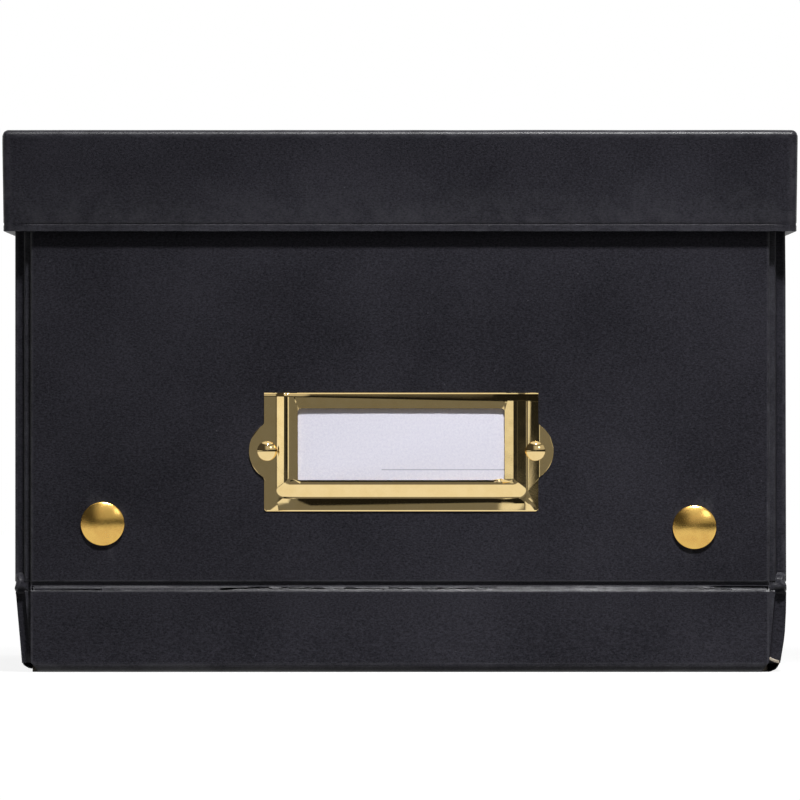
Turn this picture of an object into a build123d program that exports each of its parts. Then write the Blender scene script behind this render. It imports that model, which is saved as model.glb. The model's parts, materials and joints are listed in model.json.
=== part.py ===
from build123d import *
import math
import os

# A storage box of covered grey board with a lift-off lid.
# Millimetres. The origin is the middle of the base's underside, +Z is up,
# and the wall that carries the label holder faces -Y.

# Outside of the closed box.
lid_width = 220.0
lid_depth = 285.0
overall_height = 150.0

# Board and paper.
board = 2.0
cover = 0.3
lining = 0.2
turn_in = 14.0
lining_lap = 0.02
soft_edge = 0.6

# Lid.
lid_height = 28.0
skirt_lean = 0.5
lid_clearance = 0.3
lid_top_round = 2.0
lid_corner_round = 2.0
lid_board_bevel = 1.0
lid_hem_round = 0.8
lid_lining_margin = 1.0
mitre_depth = 10.0

# Crease all round the walls, and the foot below it.
crease_height = 24.4
hinge_gap = 1.4
crown_height = 1.6
crown_depth = 2.0
crown_round = 0.8
side_foot_lean = 2.1
front_foot_splay = 0.8
fold_corner_cut = 2.2
base_edge_play = 0.1
base_corner_cut = 5.0
bare_corner_height = 1.9

# Front and back walls, and the side walls' flaps behind them.
wall_inset = 4.4
flap_gap = 0.5
flap_width = 44.0
flap_taper = 4.0
hinge_web_round = 1.2
web_lap = 0.1

# Press studs.
stud_from_wall_edge = 20.1
stud_height = 40.6
cap_diameter = 12.5
cap_height = 2.2
cap_rim = 0.6
cap_skin = 0.45
cap_post_diameter = 3.0
socket_diameter = 8.6
socket_play = 0.2
socket_floor = 0.4
socket_lip = 0.3
ball_diameter = 4.4
ball_play = 0.05
ball_mouth_play = 0.1
ball_top_play = 0.2
ball_length = 1.3
ball_bevel = 0.43
ball_flat_diameter = 2.6
neck_diameter = 3.2
stud_flange_diameter = 9.0
stud_flange = 0.3
stud_skin = 0.4
post_diameter = 2.2
post_play = 0.1
post_flange_diameter = 9.5
post_flange = 0.8
post_flange_bevel = 0.4

# Label holder, a pressed sheet with a pocket that is open at its top.
holder_width = 76.3
holder_height = 32.8
holder_centre_height = 60.9
holder_sheet = 0.5
holder_corner_round = 0.8
ear_radius = 8.6
ear_reach = 4.2
ear_fillet = 1.2
pocket_width = 69.0
pocket_low_margin = 4.3
pocket_rise = 1.8
pocket_slope = 2.2
pocket_corner_round = 1.6
window_width = 57.2
window_height = 20.3
window_centre_height = 62.8
window_round = 0.9

# Rivets of the label holder.
rivet_spacing = 74.5
rivet_height = 61.2
rivet_head_diameter = 5.6
rivet_head_height = 1.3
rivet_shank_diameter = 2.2
rivet_hole_play = 0.1
washer_diameter = 6.0
washer_thickness = 0.4
clinch_diameter = 3.4
clinch_height = 0.5

# Card in the label holder.
card_thickness = 0.4
card_back_play = 0.1
card_edge_play = 1.0
card_top_drop = 2.5

# Places that follow from the sizes above.
wall = cover + board + cover
base_top = cover + board + lining
wall_top = overall_height - cover - board - lining
half_width = lid_width / 2 - skirt_lean - wall - lid_clearance
half_depth = lid_depth / 2 - skirt_lean - wall - lid_clearance
front_half_width = half_width - wall_inset
flap_face = wall + flap_gap
side_half_length = half_depth - flap_face - wall
flap_start = half_width - wall
upper_board_low = crease_height + hinge_gap / 2
foot_board_high = crease_height - hinge_gap / 2
foot_high = foot_board_high + cover
stud_place = front_half_width - stud_from_wall_edge
fold_radius = wall
inner_face = cover + board + lining
hinge_depth = -cover - board

LOW, HIGH = 0, 1
board_span = (-cover - board, -cover)
inner_paper_span = (-wall, -cover - board)
lining_span = (-inner_face, -cover - board)
hinge_paper_span = (-cover - board, -board)

# Panels are drawn in the XY plane as seen from outside the box: X runs along the wall,
# Y is the height above the floor, and Z = 0 is the outer face of the wall.
front_plane = Plane(origin=(0, -half_depth, 0), x_dir=(1, 0, 0), z_dir=(0, -1, 0))
back_plane = Plane(origin=(0, half_depth, 0), x_dir=(-1, 0, 0), z_dir=(0, 1, 0))
left_plane = Plane(origin=(-half_width, 0, 0), x_dir=(0, -1, 0), z_dir=(-1, 0, 0))
right_plane = Plane(origin=(half_width, 0, 0), x_dir=(0, 1, 0), z_dir=(1, 0, 0))


def block(x_span, y_span, z_span):
    """A box between a low and a high value on each axis."""
    spans = (x_span, y_span, z_span)
    size = [span[HIGH] - span[LOW] for span in spans]
    middle = [(span[HIGH] + span[LOW]) / 2 for span in spans]
    return Pos(*middle) * Box(*size)


def outline(points):
    """A flat face with straight sides."""
    return make_face(Polyline(*points, close=True))


def rectangle(x_span, y_span):
    """A rectangular face between two values on each axis."""
    low_x, high_x = x_span
    low_y, high_y = y_span
    return outline([(low_x, low_y), (high_x, low_y), (high_x, high_y), (low_x, high_y)])


def plate(face, z_span):
    """A face of the XY plane made solid between two heights."""
    return Pos(0, 0, z_span[LOW]) * extrude(face, amount=z_span[HIGH] - z_span[LOW], dir=(0, 0, 1))


def turned(points):
    """A solid of revolution about Z from an outline of (radius, height) points."""
    return revolve(make_face(Plane.XZ * Polyline(*points, close=True)), axis=Axis.Z)


def join(solids):
    """All the solids fused into one shape."""
    whole = solids[0]
    for solid in solids[1:]:
        whole += solid
    return whole


def outer_edges(solid):
    """The edges of a panel's outer face, from the lowest to the highest."""
    return solid.faces().sort_by(Axis.Z)[-1].edges().sort_by(Axis.Y)


def wrapped_board(face, window):
    """A wall or flap board and the cover paper wrapped round it.

    face is the outside of the wrapped board, and window is the part of its inner side that
    the turned-in paper leaves bare.
    """
    wrapped = plate(face, (-wall, 0))
    wrapped = fillet(outer_edges(wrapped)[:-1], soft_edge)
    core = plate(offset(face, amount=-cover, kind=Kind.INTERSECTION), board_span)
    return core, wrapped - core - plate(window, inner_paper_span)


def crowned(solid, inset):
    """A foot panel with its upper edge sloping back to the crease, and the slope moved in by inset."""
    angle = math.degrees(math.atan(crown_depth / crown_height))
    above = block((-lid_depth, lid_depth), (-lid_height, lid_height), (-inset, lid_height))
    solid = solid - Pos(0, foot_high - crown_height, 0) * Rot(-angle, 0, 0) * above
    return fillet(outer_edges(solid)[-1], crown_round - inset)


def wrapped_foot(face, window):
    """The same for a foot board, with a sloping upper edge and a square lower edge."""
    wrapped = crowned(plate(face, (-wall, 0)), 0)
    core = crowned(plate(offset(face, amount=-cover, kind=Kind.INTERSECTION), board_span), cover)
    return core, wrapped - core - plate(window, inner_paper_span)


def leaning(shape, lean):
    """A foot panel turned about its inner upper edge, so that its lower edge moves in by lean."""
    angle = math.degrees(math.asin(lean / foot_high))
    return Pos(0, foot_high, hinge_depth) * Rot(angle, 0, 0) * Pos(0, -foot_high, -hinge_depth) * shape


def bottom_fold(half_length, corner_cut, lean):
    """The cover's round fold from the foot of a wall to the underside of the base."""
    outer = Cylinder(fold_radius, 2 * half_length)
    inner = Cylinder(fold_radius - cover, 2 * half_length)
    tube = Pos(0, fold_radius, -lean - fold_radius) * Rot(0, 90, 0) * (outer - inner)
    low_half = half_length - corner_cut
    face = outline([(-low_half, 0), (low_half, 0), (half_length, fold_radius), (-half_length, fold_radius)])
    return tube & plate(face, (-lean - fold_radius, -lean))


def hinge_strip(x_span):
    """The paper that joins wall and foot at the back of the crease."""
    return block(x_span, (foot_high - lining_lap, upper_board_low - cover / 2), hinge_paper_span)


def drilled(pieces, names, holes):
    """The named pieces with holes through them, each hole given as (x, height, diameter)."""
    for x, height, diameter in holes:
        cutter = Pos(x, height, -flap_face) * Cylinder(diameter / 2, 4 * flap_face)
        for name in names:
            pieces[name] = pieces[name] - cutter
    return pieces


def end_wall(holes):
    """The front or back wall and its foot, in its own plane."""
    x_span = (-front_half_width, front_half_width)
    bare_x = (-front_half_width + turn_in, front_half_width - turn_in)
    upper_window = rectangle(bare_x, (foot_high, wall_top - turn_in))
    upper, upper_paper = wrapped_board(rectangle(x_span, (upper_board_low - cover, wall_top)), upper_window)

    foot_window = rectangle(bare_x, (base_top, crease_height))
    foot, foot_paper = wrapped_foot(rectangle(x_span, (base_top, foot_high)), foot_window)
    foot_sheet = plate(rectangle(bare_x, (base_top, foot_high + lining_lap)), lining_span)
    foot, foot_paper, foot_sheet = [
        leaning(piece, -front_foot_splay) for piece in (foot, foot_paper, foot_sheet)
    ]
    fold = bottom_fold(front_half_width, fold_corner_cut, -front_foot_splay)
    pieces = {
        "wall_board": upper,
        "foot_board": foot,
        "cover": join([upper_paper, foot_paper, hinge_strip(x_span), fold]),
        "lining": plate(upper_window, lining_span) + foot_sheet,
    }
    return drilled(pieces, ("wall_board", "cover", "lining"), holes)


def corner_flap(side):
    """A side wall's flap behind the front or back wall, in that wall's plane.

    side is -1 for the flap at the plane's low X end and 1 for the other.
    """
    start = side * flap_start
    free = side * (flap_start - flap_width)
    foot_start = side * (flap_start - side_foot_lean * (foot_high - base_top) / foot_high)
    foot_free = side * (flap_start - flap_width + flap_taper)
    bare_free = free + side * turn_in
    bare_high = wall_top - turn_in
    low = upper_board_low - cover
    upper_face = outline([(start, low), (start, wall_top), (free, wall_top), (free, low)])
    upper_window = outline(
        [(start, foot_high), (start, bare_high), (bare_free, bare_high), (bare_free, foot_high)]
    )
    upper, upper_paper = wrapped_board(upper_face, upper_window)
    foot_face = outline([(foot_start, base_top), (start, foot_high), (free, foot_high), (foot_free, base_top)])
    foot_window = outline(
        [(foot_start, base_top), (start, foot_high), (bare_free, foot_high), (bare_free, base_top)]
    )
    foot, foot_paper = wrapped_foot(foot_face, foot_window)
    strip = hinge_strip((min(start, free), max(start, free)))
    pieces = {
        "flap_board": upper,
        "foot_flap_board": foot,
        "cover": join([upper_paper, foot_paper, strip]),
        "lining": plate(upper_window + foot_window, lining_span),
    }
    pieces = {name: Pos(0, 0, -flap_face) * piece for name, piece in pieces.items()}
    hole = (side * stud_place, stud_height, post_diameter + 2 * post_play)
    return drilled(pieces, ("flap_board", "cover", "lining"), [hole])


def side_wall(bare_corner):
    """A side wall and its foot, in its own plane.

    With bare_corner, the paper of the foot stops short at the bottom of its end at low X,
    so that a sliver of board shows there.
    """
    x_span = (-side_half_length, side_half_length)
    upper_window = rectangle(x_span, (foot_high, wall_top - turn_in))
    upper, upper_paper = wrapped_board(rectangle(x_span, (upper_board_low - cover, wall_top)), upper_window)
    foot_face = rectangle(x_span, (base_top, foot_high))
    foot, foot_paper = wrapped_foot(foot_face, foot_face)
    if bare_corner:
        sliver = outline([(0, base_top), (wall, base_top), (wall, base_top + bare_corner_height)])
        foot_paper -= Pos(-side_half_length, 0, 0) * Rot(0, 90, 0) * plate(sliver, (0, cover))
    foot_sheet = plate(rectangle(x_span, (base_top, foot_high + lining_lap)), lining_span)
    foot, foot_paper, foot_sheet = [
        leaning(piece, side_foot_lean) for piece in (foot, foot_paper, foot_sheet)
    ]
    fold = bottom_fold(side_half_length, 0, side_foot_lean)
    return {
        "wall_board": upper,
        "foot_board": foot,
        "cover": join([upper_paper, foot_paper, hinge_strip(x_span), fold]),
        "lining": plate(upper_window, lining_span) + foot_sheet,
    }


def corner_web(side_x, side_y):
    """The paper of a corner's upright hinge, a scooped web between side wall and flap."""
    reach = hinge_web_round
    corners = [
        (0, 0),
        (cover, 0),
        (cover, -web_lap),
        (reach, -web_lap),
        (reach, reach),
        (-web_lap, reach),
        (-web_lap, cover),
        (0, cover),
    ]
    corner_x = side_x * flap_start
    corner_y = side_y * side_half_length
    placed = [(corner_x + side_x * x, corner_y + side_y * y) for x, y in corners]
    scoop = Pos(corner_x + side_x * reach, corner_y + side_y * reach) * Circle(reach)
    section = outline(placed) - scoop
    upper = plate(section, (upper_board_low - cover, wall_top))
    foot = plate(section, (base_top, foot_high - crown_height))
    angle = side_x * math.degrees(math.asin(side_foot_lean / foot_high))
    pivot = Axis((side_x * (half_width + hinge_depth), 0, foot_high), (0, 1, 0))
    return upper, foot.rotate(pivot, angle)


def lining_corner(side_x, side_y):
    """The lining where it turns the inner corner from a side wall to its flap."""
    inner_x = sorted((side_x * (flap_start - lining), side_x * flap_start))
    outer_x = sorted((side_x * (flap_start - lining), side_x * (flap_start + cover)))
    turn_y = sorted((side_y * (side_half_length - lining), side_y * side_half_length))
    flap_y = sorted((side_y * (side_half_length - lining), side_y * (side_half_length + cover)))
    height = (upper_board_low, wall_top - turn_in)
    return block(outer_x, turn_y, height) + block(inner_x, flap_y, height)


def body_side(side_x, plane):
    """A whole side of the body: wall, foot, two flaps, and one cover and one lining over them."""
    pieces = {name: plane * piece for name, piece in side_wall(side_x > 0).items()}
    nodes = {"wall_board": pieces["wall_board"], "foot_board": pieces["foot_board"]}
    paper = [pieces["cover"]]
    sheets = [pieces["lining"]]
    for end, end_plane, side_y in (("front", front_plane, -1), ("back", back_plane, 1)):
        side = side_x * -side_y
        flap = {name: end_plane * piece for name, piece in corner_flap(side).items()}
        nodes[end + "_flap_board"] = flap["flap_board"]
        nodes[end + "_foot_flap_board"] = flap["foot_flap_board"]
        paper += [flap["cover"], *corner_web(side_x, side_y)]
        sheets += [flap["lining"], lining_corner(side_x, side_y)]
    nodes["cover"] = join(paper)
    nodes["lining"] = join(sheets)
    return nodes


def base():
    """The base board with the paper under it and the lining on it."""
    half_x = half_width - side_foot_lean - wall - base_edge_play
    half_y = half_depth + front_foot_splay - wall - base_edge_play
    face = rectangle((-half_x, half_x), (-half_y, half_y))
    face = chamfer(face.vertices(), base_corner_cut)
    return {
        "base_cover": plate(face, (0, cover)),
        "base_board": plate(face, (cover, cover + board)),
        "base_lining": plate(face, (cover + board, base_top)),
    }


def lid_form(inset, z_span):
    """The lid's leaning outside, moved in by inset, between two heights."""
    lean_angle = math.degrees(math.atan(skirt_lean / lid_height))
    section = RectangleRounded(lid_width - 2 * inset, lid_depth - 2 * inset, lid_corner_round - inset)
    return Pos(0, 0, z_span[HIGH]) * extrude(section, amount=z_span[LOW] - z_span[HIGH], taper=lean_angle)


def lid_hollow(inset, z_span):
    """The square-cornered space inside the lid's skirt."""
    lean_angle = math.degrees(math.atan(skirt_lean / lid_height))
    section = Rectangle(lid_width - 2 * inset, lid_depth - 2 * inset)
    return Pos(0, 0, z_span[HIGH]) * extrude(section, amount=z_span[LOW] - z_span[HIGH], taper=lean_angle)


def lid():
    """Top board, four mitred skirt boards, cover paper and lining of the lid."""
    hem = overall_height - lid_height
    top_low = overall_height - cover - board
    outside = lid_form(0, (hem, overall_height))
    outside = fillet(outside.faces().sort_by(Axis.Z)[-1].edges(), lid_top_round)
    outside = fillet(outside.faces().sort_by(Axis.Z)[0].edges(), lid_hem_round)
    core = lid_form(cover, (hem + cover, overall_height - cover))
    core = chamfer(core.faces().sort_by(Axis.Z)[-1].edges(), lid_board_bevel)
    everywhere = (-lid_depth, lid_depth)
    top_board = core & block(everywhere, everywhere, (top_low, overall_height))
    skirt = (core & block(everywhere, everywhere, (hem, top_low))) - lid_hollow(
        cover + board, (hem - board, top_low)
    )
    paper = outside - top_board - skirt - lid_hollow(wall, (hem - board, top_low))

    corner_x = lid_width / 2
    corner_y = lid_depth / 2
    end_points = [
        (-corner_x, -corner_y),
        (corner_x, -corner_y),
        (corner_x - mitre_depth, -corner_y + mitre_depth),
        (-corner_x + mitre_depth, -corner_y + mitre_depth),
    ]
    side_points = [
        (-corner_x, -corner_y),
        (-corner_x, corner_y),
        (-corner_x + mitre_depth, corner_y - mitre_depth),
        (-corner_x + mitre_depth, -corner_y + mitre_depth),
    ]
    end_wedge = plate(outline(end_points), (hem, top_low))
    side_wedge = plate(outline(side_points), (hem, top_low))
    sheet_x = lid_width / 2 - wall - lid_lining_margin
    sheet_y = lid_depth / 2 - wall - lid_lining_margin
    return {
        "lid_top_board": top_board,
        "lid_front_board": skirt & end_wedge,
        "lid_back_board": skirt & mirror(end_wedge, about=Plane.XZ),
        "lid_left_board": skirt & side_wedge,
        "lid_right_board": skirt & mirror(side_wedge, about=Plane.YZ),
        "lid_cover": paper,
        "lid_lining": block((-sheet_x, sheet_x), (-sheet_y, sheet_y), (wall_top, top_low)),
    }


def domed(radius, rim, height):
    """A round head standing on Z = 0, upright to the rim and then a part of a ball."""
    rise = height - rim
    ball_radius = (radius**2 + rise**2) / (2 * rise)
    reach = (-radius, radius)
    dome = Pos(0, 0, height - ball_radius) * Sphere(ball_radius) & block(reach, reach, (rim, height))
    if rim == 0:
        return dome
    return dome + plate(Circle(radius), (0, rim))


def press_stud():
    """Cap, socket, ball stud and post of one press stud, about Z with the wall's face at Z = 0."""
    cap_post_radius = cap_post_diameter / 2
    hollow_radius = cap_diameter / 2 - cap_skin
    cap_hollow = turned(
        [
            (cap_post_radius, 0),
            (hollow_radius, 0),
            (hollow_radius, cap_rim),
            (cap_post_radius, cap_height - cap_skin),
        ]
    )
    cap_post = plate(Circle(cap_post_radius), (-socket_floor, 0))
    cap = (domed(cap_diameter / 2, cap_rim, cap_height) - cap_hollow) + cap_post

    socket_radius = socket_diameter / 2
    bore = ball_diameter / 2 + ball_play
    mouth = neck_diameter / 2 + ball_mouth_play
    socket = turned(
        [
            (cap_post_radius, 0),
            (socket_radius, 0),
            (socket_radius, -wall),
            (mouth, -wall),
            (mouth, -wall + socket_lip),
            (bore, -wall + 2 * socket_lip),
            (bore, -socket_floor),
            (cap_post_radius, -socket_floor),
        ]
    )

    ball_high = -socket_floor - ball_top_play
    ball_low = ball_high - ball_length
    ball_radius = ball_diameter / 2
    flange_high = -flap_face + stud_flange
    hollow = post_diameter / 2 + post_play
    stud = turned(
        [
            (0, ball_high),
            (ball_flat_diameter / 2, ball_high),
            (ball_radius, ball_high - ball_bevel),
            (ball_radius, ball_low + ball_bevel),
            (neck_diameter / 2, ball_low),
            (neck_diameter / 2, flange_high),
            (stud_flange_diameter / 2, flange_high),
            (stud_flange_diameter / 2, -flap_face),
            (hollow, -flap_face),
            (hollow, ball_high - stud_skin),
            (0, ball_high - stud_skin),
        ]
    )

    seat = -flap_face - inner_face
    flange_radius = post_flange_diameter / 2
    post_high = ball_high - stud_skin - post_play
    post = turned(
        [
            (0, seat - post_flange),
            (flange_radius - post_flange_bevel, seat - post_flange),
            (flange_radius, seat - post_flange + post_flange_bevel),
            (flange_radius, seat),
            (post_diameter / 2, seat),
            (post_diameter / 2, post_high),
            (0, post_high),
        ]
    )
    return {"stud_caps": cap, "stud_sockets": socket, "stud_balls": stud, "stud_posts": post}


def press_studs():
    """The four press studs, two in the front wall and two in the back wall."""
    one = press_stud()
    nodes = {}
    for name, piece in one.items():
        copies = []
        for plane in (front_plane, back_plane):
            for side in (-1, 1):
                copies.append(plane * Pos(side * stud_place, stud_height, 0) * piece)
        nodes[name] = Compound(children=copies)
    return nodes


def tapered_rise(width, low, high, rise, corner_round):
    """A raised field with sloping left, right and lower sides, drawn past its upper end."""
    slope_angle = math.degrees(math.atan(pocket_slope / pocket_rise))
    field = rectangle((-width / 2, width / 2), (low, high + 2 * pocket_slope))
    raised = extrude(field, amount=rise, dir=(0, 0, 1), taper=slope_angle)
    slanting = [edge for edge in raised.edges() if edge.bounding_box().size.Z > rise / 2]
    return fillet(ShapeList(slanting).sort_by(Axis.Y)[:2], corner_round)


def label_holder():
    """The pressed holder with its rivets, washers and card, in the front wall's plane."""
    low = holder_centre_height - holder_height / 2
    high = holder_centre_height + holder_height / 2
    sheet = plate(rectangle((-holder_width / 2, holder_width / 2), (low, high)), (0, holder_sheet))
    low_corners = sheet.edges().filter_by(Axis.Z).group_by(Axis.Y)[0]
    sheet = fillet(low_corners, holder_corner_round)
    ear_x = holder_width / 2 + ear_reach - ear_radius
    for side in (-1, 1):
        sheet += Pos(side * ear_x, rivet_height, holder_sheet / 2) * Cylinder(ear_radius, holder_sheet)
    upright = sheet.edges().filter_by(Axis.Z)
    sheet = fillet([edge for edge in upright if abs(edge.center().Y - rivet_height) < ear_radius], ear_fillet)
    pocket_low = low + pocket_low_margin
    raised = tapered_rise(pocket_width, pocket_low, high, pocket_rise, pocket_corner_round)
    hollow = tapered_rise(
        pocket_width - 2 * holder_sheet,
        pocket_low + holder_sheet,
        high,
        pocket_rise - holder_sheet,
        pocket_corner_round - holder_sheet,
    )
    field = block((-holder_width, holder_width), (low, high), (0, pocket_rise))
    window = RectangleRounded(window_width, window_height, window_round)
    window = plate(Pos(0, window_centre_height) * window, (0, pocket_rise))
    frame = ((sheet + raised) & field) - hollow - window

    inner_width = pocket_width - 2 * holder_sheet
    half_card = inner_width / 2 - card_edge_play
    card_low = pocket_low + holder_sheet + card_edge_play
    card = block(
        (-half_card, half_card),
        (card_low, high - card_top_drop),
        (card_back_play, card_back_play + card_thickness),
    )

    head = Pos(0, 0, holder_sheet) * domed(rivet_head_diameter / 2, 0, rivet_head_height)
    clinch_high = -inner_face - washer_thickness
    shank = plate(Circle(rivet_shank_diameter / 2), (clinch_high, holder_sheet))
    clinch = plate(Circle(clinch_diameter / 2), (clinch_high - clinch_height, clinch_high))
    rivet = join([head, shank, clinch])
    hole_radius = rivet_shank_diameter / 2 + rivet_hole_play
    ring = Circle(washer_diameter / 2) - Circle(hole_radius)
    washer = plate(ring, (-inner_face - washer_thickness, -inner_face))

    rivets = []
    washers = []
    for side in (-1, 1):
        place = Pos(side * rivet_spacing / 2, rivet_height, 0)
        rivets.append(front_plane * place * rivet)
        washers.append(front_plane * place * washer)
        frame -= place * Cylinder(hole_radius, 2 * pocket_rise)
    return {
        "label_frame": front_plane * frame,
        "label_card": front_plane * card,
        "label_rivets": Compound(children=rivets),
        "label_washers": Compound(children=washers),
    }


def storage_box():
    """Every piece of the box by name."""
    nodes = base()
    socket_hole = socket_diameter + 2 * socket_play
    stud_holes = [(side * stud_place, stud_height, socket_hole) for side in (-1, 1)]
    rivet_hole = rivet_shank_diameter + 2 * rivet_hole_play
    rivet_holes = [(side * rivet_spacing / 2, rivet_height, rivet_hole) for side in (-1, 1)]
    ends = (("front", front_plane, stud_holes + rivet_holes), ("back", back_plane, stud_holes))
    for name, plane, holes in ends:
        for part_name, piece in end_wall(holes).items():
            nodes[name + "_" + part_name] = plane * piece
    for name, side_x, plane in (("left", -1, left_plane), ("right", 1, right_plane)):
        for part_name, piece in body_side(side_x, plane).items():
            nodes[name + "_" + part_name] = piece
    nodes.update(press_studs())
    nodes.update(label_holder())
    nodes.update(lid())
    return nodes


os.makedirs("parts", exist_ok=True)
for node, shape in storage_box().items():
    export_step(shape, "parts/" + node + ".step")
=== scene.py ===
"""A covered board storage box: paper covers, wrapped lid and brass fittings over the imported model."""
import json
import logging
import math
from dataclasses import dataclass, field
from enum import Enum
from typing import Callable, Dict, List, Sequence, Tuple

import bmesh
import bpy
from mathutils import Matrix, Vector


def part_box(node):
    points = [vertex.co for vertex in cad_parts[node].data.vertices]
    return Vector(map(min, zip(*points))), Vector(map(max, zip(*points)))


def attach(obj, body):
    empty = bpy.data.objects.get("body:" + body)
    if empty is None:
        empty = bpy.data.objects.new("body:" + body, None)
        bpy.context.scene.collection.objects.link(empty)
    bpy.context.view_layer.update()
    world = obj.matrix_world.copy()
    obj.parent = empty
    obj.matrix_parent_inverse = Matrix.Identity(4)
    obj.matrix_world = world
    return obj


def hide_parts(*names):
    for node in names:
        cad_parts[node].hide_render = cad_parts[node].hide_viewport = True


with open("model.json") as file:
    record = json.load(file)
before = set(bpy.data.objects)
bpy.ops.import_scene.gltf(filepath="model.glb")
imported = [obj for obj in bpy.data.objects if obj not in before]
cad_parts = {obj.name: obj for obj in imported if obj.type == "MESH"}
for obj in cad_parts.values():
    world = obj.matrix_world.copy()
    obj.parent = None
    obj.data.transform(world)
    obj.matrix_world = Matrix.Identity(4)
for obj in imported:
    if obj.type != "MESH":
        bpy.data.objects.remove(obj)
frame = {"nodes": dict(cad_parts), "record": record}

MM = 0.001
TIGHT = 1e-6
PAPER = 0.3 * MM
BRASS_SHEET = 0.5 * MM
WHITE = (1.0, 1.0, 1.0, 1.0)

Colour = Tuple[float, float, float, float]
Test = Callable[[Vector, Vector], bool]
Weight = Callable[[Vector], float]
log = logging.getLogger("storage_box")


class Element(Enum):
    """What a selection picks."""

    VERTEX = "VERT"
    EDGE = "EDGE"
    FACE = "FACE"


class Axis(Enum):
    """The three directions of the frame."""

    X = 0
    Y = 1
    Z = 2


class Slot(Enum):
    """The record's material slots."""

    COVER = "cover_paper"
    LINING = "lining_paper"
    BOARD = "grey_board"
    POLISHED = "polished_brass"
    SATIN = "satin_brass"
    CARD = "card"


def srgb(red: int, green: int, blue: int) -> Colour:
    """A colour given by its screen values.

    Args:
        red: Red from 0 to 255.
        green: Green from 0 to 255.
        blue: Blue from 0 to 255.

    Returns:
        The same colour in linear light, with full alpha.
    """
    linear = []
    for value in (red, green, blue):
        share = value / 255
        linear.append(share / 12.92 if share <= 0.04045 else ((share + 0.055) / 1.055) ** 2.4)
    return (linear[0], linear[1], linear[2], 1.0)


# Modelling


def put_down() -> None:
    """Leaves edit mode and deselects every object."""
    if bpy.context.object is not None and bpy.context.object.mode != "OBJECT":
        bpy.ops.object.mode_set(mode="OBJECT")
    bpy.ops.object.select_all(action="DESELECT")


def take_up(piece: bpy.types.Object) -> None:
    """Selects one piece and opens it in edit mode.

    Args:
        piece: The piece to model.
    """
    put_down()
    bpy.context.view_layer.objects.active = piece
    piece.select_set(True)
    bpy.ops.object.mode_set(mode="EDIT")


def merge_doubles() -> None:
    """Selects the whole open mesh and merges vertices that share a place."""
    bpy.ops.mesh.select_all(action="SELECT")
    bpy.ops.mesh.remove_doubles(threshold=TIGHT)


def block(name: str, low: Sequence[float], high: Sequence[float]) -> bpy.types.Object:
    """Adds a cube primitive between two corners, with its place in its mesh.

    Args:
        name: The piece's name.
        low: Lowest corner in metres.
        high: Highest corner in metres.

    Returns:
        The new piece, out of edit mode.
    """
    put_down()
    middle = [(a + b) / 2 for a, b in zip(low, high)]
    size = [b - a for a, b in zip(low, high)]
    bpy.ops.mesh.primitive_cube_add(size=1, location=middle, scale=size)
    piece = bpy.context.object
    piece.name = name
    bpy.ops.object.transform_apply(location=True, rotation=True, scale=True)
    return piece


def pick(piece: bpy.types.Object, element: Element, test: Test) -> int:
    """Selects what passes a test, in edit mode.

    Args:
        piece: The piece that is open in edit mode.
        element: Whether vertices, edges or faces are picked.
        test: Takes an element's middle and its normal, or an edge's direction.

    Returns:
        How many were picked.
    """
    bpy.ops.mesh.select_mode(type=element.value)
    bpy.ops.mesh.select_all(action="DESELECT")
    mesh = bmesh.from_edit_mesh(piece.data)
    picked = 0
    if element is Element.VERTEX:
        for vertex in mesh.verts:
            if test(vertex.co, vertex.normal):
                vertex.select_set(True)
                picked += 1
    elif element is Element.EDGE:
        for edge in mesh.edges:
            one, two = edge.verts
            if test((one.co + two.co) / 2, (two.co - one.co).normalized()):
                edge.select_set(True)
                picked += 1
    else:
        for face in mesh.faces:
            if test(face.calc_center_median(), face.normal):
                face.select_set(True)
                picked += 1
    mesh.select_flush_mode()
    bmesh.update_edit_mesh(piece.data)
    return picked


def cut(axis: Axis, places: Sequence[float], clear_above: bool = False) -> None:
    """Cuts the whole open mesh by planes across an axis.

    Args:
        axis: The direction that the planes face.
        places: Where they cross it, in metres.
        clear_above: Whether what lies above each plane is taken away.
    """
    normal = [0.0, 0.0, 0.0]
    normal[axis.value] = 1.0
    for place in places:
        bpy.ops.mesh.select_mode(type="VERT")
        bpy.ops.mesh.select_all(action="SELECT")
        bpy.ops.mesh.bisect(
            plane_co=[place * share for share in normal],
            plane_no=normal,
            clear_outer=clear_above,
            threshold=TIGHT,
        )


def slide(x: float = 0.0, y: float = 0.0, z: float = 0.0) -> None:
    """Moves the selection in edit mode by metres along each axis."""
    bpy.ops.transform.translate(value=(x, y, z))


def round_off(width: float, segments: int) -> None:
    """Bevels the selected edges to a round.

    Args:
        width: The round's width in metres.
        segments: How many faces it gets.
    """
    bpy.ops.mesh.bevel(offset=width, segments=segments, profile=0.5, affect="EDGES", clamp_overlap=True)


def close_up(piece: bpy.types.Object, angle: float = 35.0) -> bpy.types.Object:
    """Merges doubles, turns faces outwards, leaves edit mode and smooths the round forms.

    Args:
        piece: The piece that is open in edit mode.
        angle: The largest turn between faces that shade as one, in degrees.

    Returns:
        The same piece.
    """
    bpy.ops.mesh.select_mode(type="VERT")
    merge_doubles()
    bpy.ops.mesh.normals_make_consistent(inside=False)
    bpy.ops.object.mode_set(mode="OBJECT")
    bpy.ops.object.shade_smooth_by_angle(angle=math.radians(angle))
    put_down()
    return piece


def apply_modifier(piece: bpy.types.Object, modifier: bpy.types.Modifier) -> None:
    """Applies one modifier to a piece.

    Args:
        piece: The piece that carries it.
        modifier: The modifier.
    """
    put_down()
    bpy.context.view_layer.objects.active = piece
    piece.select_set(True)
    bpy.ops.object.modifier_apply(modifier=modifier.name)
    put_down()


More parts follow.
